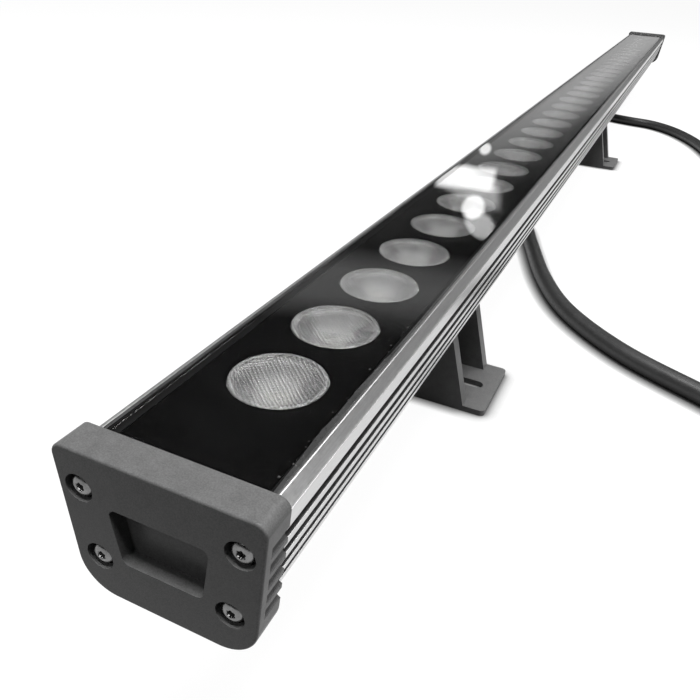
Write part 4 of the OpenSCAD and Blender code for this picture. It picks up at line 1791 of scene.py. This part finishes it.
    def screw_hole(self) -> bpy.types.Object:
        """The cutter for a screw's hole with its counterbore."""
        back = self.thickness + self.past
        profile = [
            (0, -self.past),
            (self.counterbore_r, -self.past),
            (self.counterbore_r, self.counterbore_h),
            (self.hole_r, self.counterbore_h),
            (self.hole_r, back),
            (0, back),
        ]
        return turned("bore", profile, segments=40)

    def pocket(self, inset: float) -> Loop:
        """Outline of the pocket.

        Args:
            inset: How far it is drawn in.

        Returns:
            The outline.
        """
        return section(
            self.pocket_bottom_w / 2 - inset,
            self.pocket_top_w / 2 - inset,
            self.pocket_low + inset,
            self.pocket_low + self.pocket_h - inset,
            self.pocket_r,
            self.pocket_r,
            steps=10,
        )

    def screw(self, x: float, z: float) -> bpy.types.Object:
        """One domed screw with a small six-lobed socket.

        Args:
            x: Its place across.
            z: Its place up.

        Returns:
            The screw.
        """
        face = self.sink
        back = face + self.head_h
        profile = [
            *((self.socket_r * share, face + depth * MM) for share, depth in self.SOCKET),
            *((r * MM, face + depth * MM) for r, depth in self.DOME),
            (self.head_r, face + self.rim_depth),
            (self.head_r, back),
            (self.shank_r, back),
            *((r * MM, self.thickness + reach * MM) for r, reach in self.SHANK),
        ]

        def lobed(i: int, angle: float) -> float:
            """Six lobes in the socket, round elsewhere."""
            return 1 + self.lobe * math.cos(6 * angle) if i in self.LOBED else 1.0

        spin = Matrix.Rotation(x * self.spin_per_metre, 4, "Z")
        screw = turned("screw", profile, segments=72, shape_at=lobed)
        return place(screw, toward_y(x, 0, z) @ spin)


# Stands


@dataclass
class Stand:
    """A U-shaped foot, its slider and the bolt that it tilts about."""

    housing: Housing
    end: End
    y: float
    length: float = 36 * MM
    foot_w: float = 50 * MM
    foot_t: float = 2.4 * MM
    ear_w: float = 34 * MM
    ear_t: float = 5.4 * MM
    ear_r: float = 8.2 * MM
    pivot: float = 30.5 * MM
    bolt_r: float = 3 * MM
    slot_w: float = 5 * MM
    slot_len: float = 11 * MM
    slot_gap: float = 28 * MM
    corner_r: float = 2 * MM
    play: float = 0.3 * MM
    washer_t: float = 1.6 * MM
    washer_r: float = 6.2 * MM
    head_r: float = 5.25 * MM
    head_h: float = 3.3 * MM
    nut_w: float = 10 * MM
    nut_t: float = 5 * MM
    tail: float = 1 * MM
    ease: float = 0.45 * MM
    ear_from: float = 0.5 * MM
    ear_play: float = 0.12 * MM
    bolt_play: float = 0.06 * MM
    nut_play: float = 0.03 * MM
    slider_r: float = 8 * MM
    slider_neck: float = 7.5 * MM
    slider_half: float = 13 * MM
    slider_flange: float = 4 * MM
    slider_ease: float = 0.3 * MM
    slider_edge: float = 0.25 * MM
    lock_hole_r: float = 2.06 * MM
    lock_place: float = 9.6 * MM
    past: float = 1 * MM
    socket_r: float = 2.3 * MM
    socket_depth: float = 2 * MM
    thread_depth: float = 0.35 * MM
    thread_pitch: float = 1 * MM
    washer_edge: float = 0.2 * MM
    nut_edge: float = 0.35 * MM

    # Distance in from the head's rim and down from its top, in millimetres
    HEAD_ROUNDING = ((1.6, 0), (0.7, 0.25), (0.15, 0.9), (0, 1.7))

    # The bolt's profile points that have the socket's six flats
    SOCKET_RINGS = (1, 2)

    @property
    def foot_body(self) -> str:
        """The body that the foot is."""
        return f"{self.end.label}_foot"

    @property
    def carriage(self) -> str:
        """The body that the slider is."""
        return f"{self.end.label}_carriage"

    def build(self, finishes: Finishes) -> None:
        """Makes the stand, its slider and its fasteners.

        Args:
            finishes: The finishes.
        """
        label = self.end.label
        stand = self.body()
        boolean(stand, self.ear(-1), Cut.JOIN)
        boolean(stand, self.ear(1), Cut.JOIN)
        soften(stand, self.ease, segments=3, angle=35)
        smooth(stand, angle=30)
        place(stand, Matrix.Translation((0, self.y, 0)))
        settle(stand, finishes.stand, self.foot_body, "stand_grey", f"{label}_stand")
        settle(self.slider(), finishes.slider, self.carriage, "slider_metal", f"{label}_slider")
        for piece, node in (
            (self.bolt(), f"{label}_pivot_bolt"),
            (self.washers(), f"{label}_pivot_washers"),
            (self.nut(), f"{label}_pivot_nut"),
        ):
            smooth(piece, angle=32)
            settle(piece, finishes.steel, self.foot_body, "screw_steel", node)

    def body(self) -> bpy.types.Object:
        """The foot plate with its two slots."""
        half_w, half_l, r = self.foot_w / 2, self.length / 2, self.corner_r
        outline: Loop = []
        for i, (sx, sy) in enumerate(((1, -1), (1, 1), (-1, 1), (-1, -1))):
            outline += arc(sx * (half_w - r), sy * (half_l - r), r, 90 * i - 90, 90 * i, steps=8)
        loops = [outline]
        reach = (self.slot_len - self.slot_w) / 2
        for side in (-1, 1):
            middle = side * self.slot_gap / 2
            loops.append(
                arc(middle + reach, 0, self.slot_w / 2, -90, 90, steps=12)
                + arc(middle - reach, 0, self.slot_w / 2, 90, 270, steps=12)
            )
        foot = plate(f"{self.end.label}_foot_casting", loops, self.foot_t)
        return place(foot, Matrix.Translation((0, 0, self.foot_t / 2)))

    def ear(self, side: int) -> bpy.types.Object:
        """One ear.

        Args:
            side: Sign of Y where it stands.

        Returns:
            The ear, about Y = 0.
        """
        half = self.ear_w / 2
        to_corner = math.atan2(self.pivot, half)
        lean = math.degrees(math.acos(self.ear_r / math.hypot(half, self.pivot)) - to_corner)
        low = self.ear_from
        drop = half - low * math.tan(math.radians(lean))
        crown = arc(0, self.pivot, self.ear_r, lean, 180 - lean, steps=24)
        outline = [(-drop, low), (drop, low)] + crown
        hole = circle(0, self.pivot, self.bolt_r + self.ear_play)
        outer = side * self.length / 2
        inner = side * (self.length / 2 - self.ear_t)
        return along("ear", [outline, hole], min(outer, inner), max(outer, inner))

    def slider_outline(self) -> Loop:
        """Outline of the T-shaped block, from its round foot up to its tenon, about the underside."""
        rail = self.housing
        drop = rail.lift - self.pivot
        neck, tenon = rail.mouth_w / 2 - self.play, rail.slot_w / 2 - self.play
        top, low = rail.rail_lip + rail.slot_h - self.play, rail.rail_lip + self.play
        flange_top, flange_low = -self.play, -self.play - self.slider_flange
        half = arc(0, -drop, self.slider_r, -90, -20, steps=14) + [
            (self.slider_neck, -drop),
            (self.slider_neck, flange_low),
            (self.slider_half, flange_low),
            (self.slider_half, flange_top),
            (neck, flange_top),
            (neck, low),
            (tenon, low),
            (tenon, top),
        ]
        return eased(mirrored(half), self.slider_ease)

    def slider(self) -> bpy.types.Object:
        """The T-shaped block in the rail, with the bolt's hole and its two lock screws' holes."""
        lift = self.housing.lift
        loops = [self.slider_outline(), circle(0, self.pivot - lift, self.bolt_r + self.bolt_play)]
        reach = self.length / 2 - self.ear_t - self.play
        block = along(f"{self.end.label}_slide_block", loops, -reach, reach, self.slider_edge)
        flange_low = -self.play - self.slider_flange
        for side in (-1, 1):
            drill = drum("drill", self.lock_hole_r, flange_low - self.past, self.past, segments=32)
            place(drill, Matrix.Translation((side * self.lock_place, 0, 0)))
            boolean(block, drill, Cut.REMOVE)
        place(block, Matrix.Translation((0, self.y, lift)))
        return smooth(block, angle=32)

    def bolt(self) -> bpy.types.Object:
        """The pivot bolt, head towards -Y, with a hexagon socket and a threaded tail."""
        start = -self.length / 2 - self.washer_t - self.head_h
        stop = self.length / 2 + self.washer_t + self.nut_t + self.tail
        thread_from = self.length / 2 + self.washer_t
        profile = [
            (0, start + self.socket_depth),
            (self.socket_r, start + self.socket_depth),
            (self.socket_r, start),
            *((self.head_r - inward * MM, start + down * MM) for inward, down in self.HEAD_ROUNDING),
            (self.head_r, start + self.head_h),
            (self.bolt_r, start + self.head_h),
            (self.bolt_r, thread_from),
        ]
        root, y = self.bolt_r - self.thread_depth, thread_from
        while y + self.thread_pitch < stop - self.thread_depth:
            profile += [(root, y + self.thread_pitch / 2), (self.bolt_r, y + self.thread_pitch)]
            y += self.thread_pitch
        profile += [(self.bolt_r, stop - self.thread_depth), (root, stop), (0, stop)]

        def hexagon(i: int, angle: float) -> float:
            """Six flats in the socket, round elsewhere."""
            if i not in self.SOCKET_RINGS:
                return 1.0
            return math.cos(math.pi / 6) / math.cos((angle % (math.pi / 3)) - math.pi / 6)

        bolt = turned(f"{self.end.label}_bolt", profile, segments=72, shape_at=hexagon)
        return place(bolt, toward_y(0, self.y, self.pivot))

    def washers(self) -> bpy.types.Object:
        """The two washers."""
        rings = []
        for face in (-self.length / 2 - self.washer_t, self.length / 2):
            loops = [circle(0, 0, self.washer_r, steps=56), circle(0, 0, self.bolt_r + self.bolt_play)]
            rings.append(along("washer", loops, face, face + self.washer_t, self.washer_edge))
        obj = joined(f"{self.end.label}_washer_pair", rings)
        return place(obj, Matrix.Translation((0, self.y, self.pivot)))

    def nut(self) -> bpy.types.Object:
        """The hexagon nut with rounded corners."""
        face = self.length / 2 + self.washer_t
        corner = self.nut_w / 2 / math.cos(math.pi / 6)
        loops = [circle(0, 0, corner, steps=6), circle(0, 0, self.bolt_r + self.nut_play)]
        nut = along(f"{self.end.label}_nut", loops, face, face + self.nut_t, self.nut_edge)
        return place(nut, Matrix.Translation((0, self.y, self.pivot)))


# Lead


def between(a: Vector, b: Vector, c: Vector, d: Vector, t: float) -> Vector:
    """A place on the smooth line through four points, on its middle stretch.

    Args:
        a: The point before the stretch.
        b: Where the stretch starts.
        c: Where it stops.
        d: The point after it.
        t: How far along the stretch, from 0 to 1.

    Returns:
        The place.
    """
    square = (2 * a - 5 * b + 4 * c - d) * t**2
    cube = (3 * b - a - 3 * c + d) * t**3
    return (2 * b + (c - a) * t + square + cube) / 2


@dataclass
class SupplyLead:
    """The lead with its strain relief and connector."""

    housing: Housing
    diameter: float = 8.5 * MM
    steps: int = 8
    entry_z: float = 60 * MM
    boot_len: float = 36 * MM
    collar_r: float = 9.5 * MM
    collar_t: float = 3 * MM
    base_r: float = 7.4 * MM
    tip_r: float = 5.5 * MM
    ring_w: float = 1.5 * MM
    ring_pitch: float = 4 * MM
    ring_depth: float = 0.9 * MM
    ring_count: int = 6
    ease: float = 0.3 * MM
    block_gap: float = 0.1 * MM

    # Places of the route's points, in millimetres
    ROUTE = (
        (0, 536, 60), (0, 554, 60), (-4, 571, 57), (-12, 584, 48),
        (-24, 589, 35), (-36, 584, 22), (-44, 571, 12), (-47, 551, 6),
        (-48, 515, 4.5), (-48, 470, 4.3), (-46, 425, 4.3), (-44, 380, 4.3),
        (-38, 340, 4.3), (-24, 309, 4.3), (-4, 291, 4.3), (18, 284, 4.3),
        (40, 280, 4.3), (60, 264, 4.3), (77, 238, 4.3), (91, 205, 4.3),
        (107, 150, 4.3), (124, 94, 4.3), (139, 37, 4.3), (152, -21, 4.3),
        (163, -80, 4.3), (171, -139, 4.3), (177, -195, 4.3), (178, -234, 4.3),
        (171, -268, 4.3), (153, -293, 4.3), (127, -299, 4.3), (100, -287, 4.3),
        (67, -268, 4.3), (39, -240, 4.3), (20, -205, 4.3), (3, -158, 4.3),
        (-11, -118, 4.3), (-31, -88, 4.5), (-47, -59, 5.6), (-52, -24, 9.3),
    )

    # Radius of the connector's body and distance from the route's last point, in millimetres
    PLUG = (
        (0, 0), (5.3, 0), (5.5, 0.3), (5.9, 4), (5.5, 4.6), (5.5, 5.6), (6.2, 6.2), (6.5, 9),
        (6.0, 9.6), (6.0, 10.6), (6.8, 11.2), (7.2, 16), (7.7, 16.4), (7.7, 33.6), (7.5, 34),
        (8.1, 34.3), (8.1, 36.7), (7.8, 37), (5.8, 37), (5.8, 40), (6.3, 40.5), (5.8, 41),
        (5.8, 52.8), (5.6, 53), (4.9, 53), (4.7, 52.8), (4.7, 42), (0, 42),
    )

    # The points above between which the grip is ribbed
    GRIP = (12, 13)

    # Where the coupling nut starts on the connector, in millimetres
    NUT_FROM = 37.3

    # Its radius and the distance from there, in millimetres, outside and then inside
    NUT = (
        (5.86, 0), (8.6, 0), (9.1, 0.5), (9.2, 1.4), (9.2, 13.6), (8.7, 14.2), (8.7, 15.5),
        (8.4, 16), (7.6, 16), (7.5, 15.8), (7.5, 2), (5.86, 2),
    )

    # The points above between which the nut is fluted
    FLUTED = (3, 4)

    def path(self) -> List[Vector]:
        """The smooth line through the route's points."""
        stops = [Vector(p) * MM for p in self.ROUTE]
        last = len(stops) - 1
        out: List[Vector] = []
        for i in range(last):
            a, b, c, d = (stops[min(max(k, 0), last)] for k in (i - 1, i, i + 1, i + 2))
            out += [between(a, b, c, d, s / self.steps) for s in range(self.steps)]
        return out + [stops[last]]

    def build(self, finishes: Finishes) -> None:
        """Makes the lead and what is on it.

        Args:
            finishes: The finishes.
        """
        path = self.path()
        lead, boot, plug, nut = self.sheath(path), self.boot(), self.plug(), self.nut()
        settle(boot, finishes.lead, LAMP_BODY, "lead_rubber", "cable_boot")
        settle(plug, finishes.plug, LAMP_BODY, "plug_black", "plug_body")
        settle(nut, finishes.plug, "plug_ring", "plug_black", "plug_nut")
        settle(lead, finishes.lead, LAMP_BODY, "lead_rubber", "supply_cable")

    def sheath(self, path: Sequence[Vector]) -> bpy.types.Object:
        """The lead itself, as a round curve.

        Args:
            path: The places along its middle.

        Returns:
            The lead.
        """
        curve = bpy.data.curves.new("lead", "CURVE")
        curve.dimensions = "3D"
        curve.bevel_depth = self.diameter / 2
        curve.bevel_resolution = 6
        curve.use_fill_caps = True
        spline = curve.splines.new("POLY")
        spline.points.add(len(path) - 1)
        for point, spot in zip(spline.points, path):
            point.co = (*spot, 1)
        spline.use_smooth = True
        lead = bpy.data.objects.new("lead", curve)
        bpy.context.scene.collection.objects.link(lead)
        return lead

    def boot(self) -> bpy.types.Object:
        """The strain relief, with its block in the cap's pocket."""
        boot = turned("lead_boot", self.boot_profile(), segments=64)
        place(boot, toward_y(0, self.housing.lamp_half, self.entry_z))
        cap = EndCap(self.housing, End.FAR)
        face = self.housing.lamp_half
        block = along("block", [cap.pocket(self.block_gap)], face - cap.pocket_depth, face)
        place(block, Matrix.Translation((0, 0, self.housing.lift)))
        boolean(boot, block, Cut.JOIN)
        return smooth(boot, angle=32)

    def cone(self, t: float) -> float:
        """Radius of the boot's plain cone at a distance from the cap."""
        share = (t - self.collar_t) / (self.boot_len - self.collar_t)
        return self.base_r + (self.tip_r - self.base_r) * share

    def boot_profile(self) -> Loop:
        """Radius and distance from the cap of the boot's collar, of its grooves and of its tip."""
        ease = self.ease
        profile = [
            (0, -ease),
            (self.collar_r, -ease),
            (self.collar_r, self.collar_t - 2 * ease),
            (self.collar_r - ease, self.collar_t - ease),
            (self.collar_r - 2 * ease, self.collar_t),
            (self.base_r + ease, self.collar_t),
            (self.base_r, self.collar_t + ease),
        ]
        for i in range(self.ring_count):
            start = 2 * self.collar_t + i * self.ring_pitch
            stop = start + self.ring_w
            low, high = self.cone(start), self.cone(stop)
            profile += [
                (low, start - ease / 2),
                (low - ease, start),
                (low - self.ring_depth, start + ease),
                (high - self.ring_depth, stop - ease),
                (high - ease, stop),
                (high, stop + ease / 2),
            ]
        return profile + [
            (self.tip_r + ease / 2, self.boot_len - 2 * ease),
            (self.tip_r - ease, self.boot_len),
            (0, self.boot_len),
        ]

    def to_connector(self) -> Matrix:
        """From the origin to the route's last point, where the connector starts."""
        return toward_y(*(value * MM for value in self.ROUTE[-1]))

    def plug(self) -> bpy.types.Object:
        """The connector's body: tail, ribbed grip, collar, sleeve and socket."""
        profile = [(r * MM, t * MM) for r, t in self.PLUG]
        ribs = fluted(self.GRIP, count=12, depth=0.035, power=3)
        plug = turned("connector_body", profile, segments=96, shape_at=ribs)
        place(plug, self.to_connector())
        return smooth(plug, angle=32)

    def nut(self) -> bpy.types.Object:
        """The fluted coupling nut."""
        profile = [(r * MM, (self.NUT_FROM + t) * MM) for r, t in self.NUT]
        flutes = fluted(self.FLUTED, count=18, depth=0.055, power=2)
        nut = drawn("connector_nut", round_rings(profile, segments=108, shape_at=flutes), Closing.RING)
        place(nut, self.to_connector())
        return smooth(nut, angle=32)


# Carried-over nodes


def dress_inner_nodes(nodes: Mapping[str, bpy.types.Object], finishes: Finishes) -> None:
    """Gives the CAD nodes that stay their finishes.

    Args:
        nodes: The frame's nodes.
        finishes: The finishes.
    """
    table = {
        "glass_seal": finishes.seal,
        "lens_mask": finishes.mask,
        "lens_holders": finishes.holder,
        "leds": finishes.emitter,
        "near_led_board": finishes.board,
        "far_led_board": finishes.board,
        "board_screws": finishes.steel,
        "board_drivers": finishes.chip,
        "board_links": finishes.link,
        "supply_terminal": finishes.terminal,
        "core_wires": finishes.core,
        "near_gasket": finishes.gasket,
        "far_gasket": finishes.gasket,
        "boot_stem": finishes.brass,
        "boot_locknut": finishes.brass,
        "plug_pins": finishes.brass,
        "near_lock_screws": finishes.dark_steel,
        "far_lock_screws": finishes.dark_steel,
    }
    for name, material in table.items():
        dress(nodes[name], material)
        LOG.info("%s keeps its shape and is dressed in %s", name, material.name)


def main() -> None:
    """Builds the studio and then the lamp."""
    logging.basicConfig(level=logging.INFO, format="%(name)s: %(message)s")
    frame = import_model()
    Studio().build()
    finishes = Finishes()
    housing = Housing()
    SupplyLead(housing).build(finishes)
    housing.build(finishes)
    GlassStrip(housing).build(finishes)
    LensRow(housing).build(finishes)
    for end in End:
        EndCap(housing, end).build(finishes)
    Stand(housing, End.NEAR, y=-325 * MM).build(finishes)
    Stand(housing, End.FAR, y=90 * MM).build(finishes)
    dress_inner_nodes(frame["nodes"], finishes)


if __name__ == "__main__":
    main()
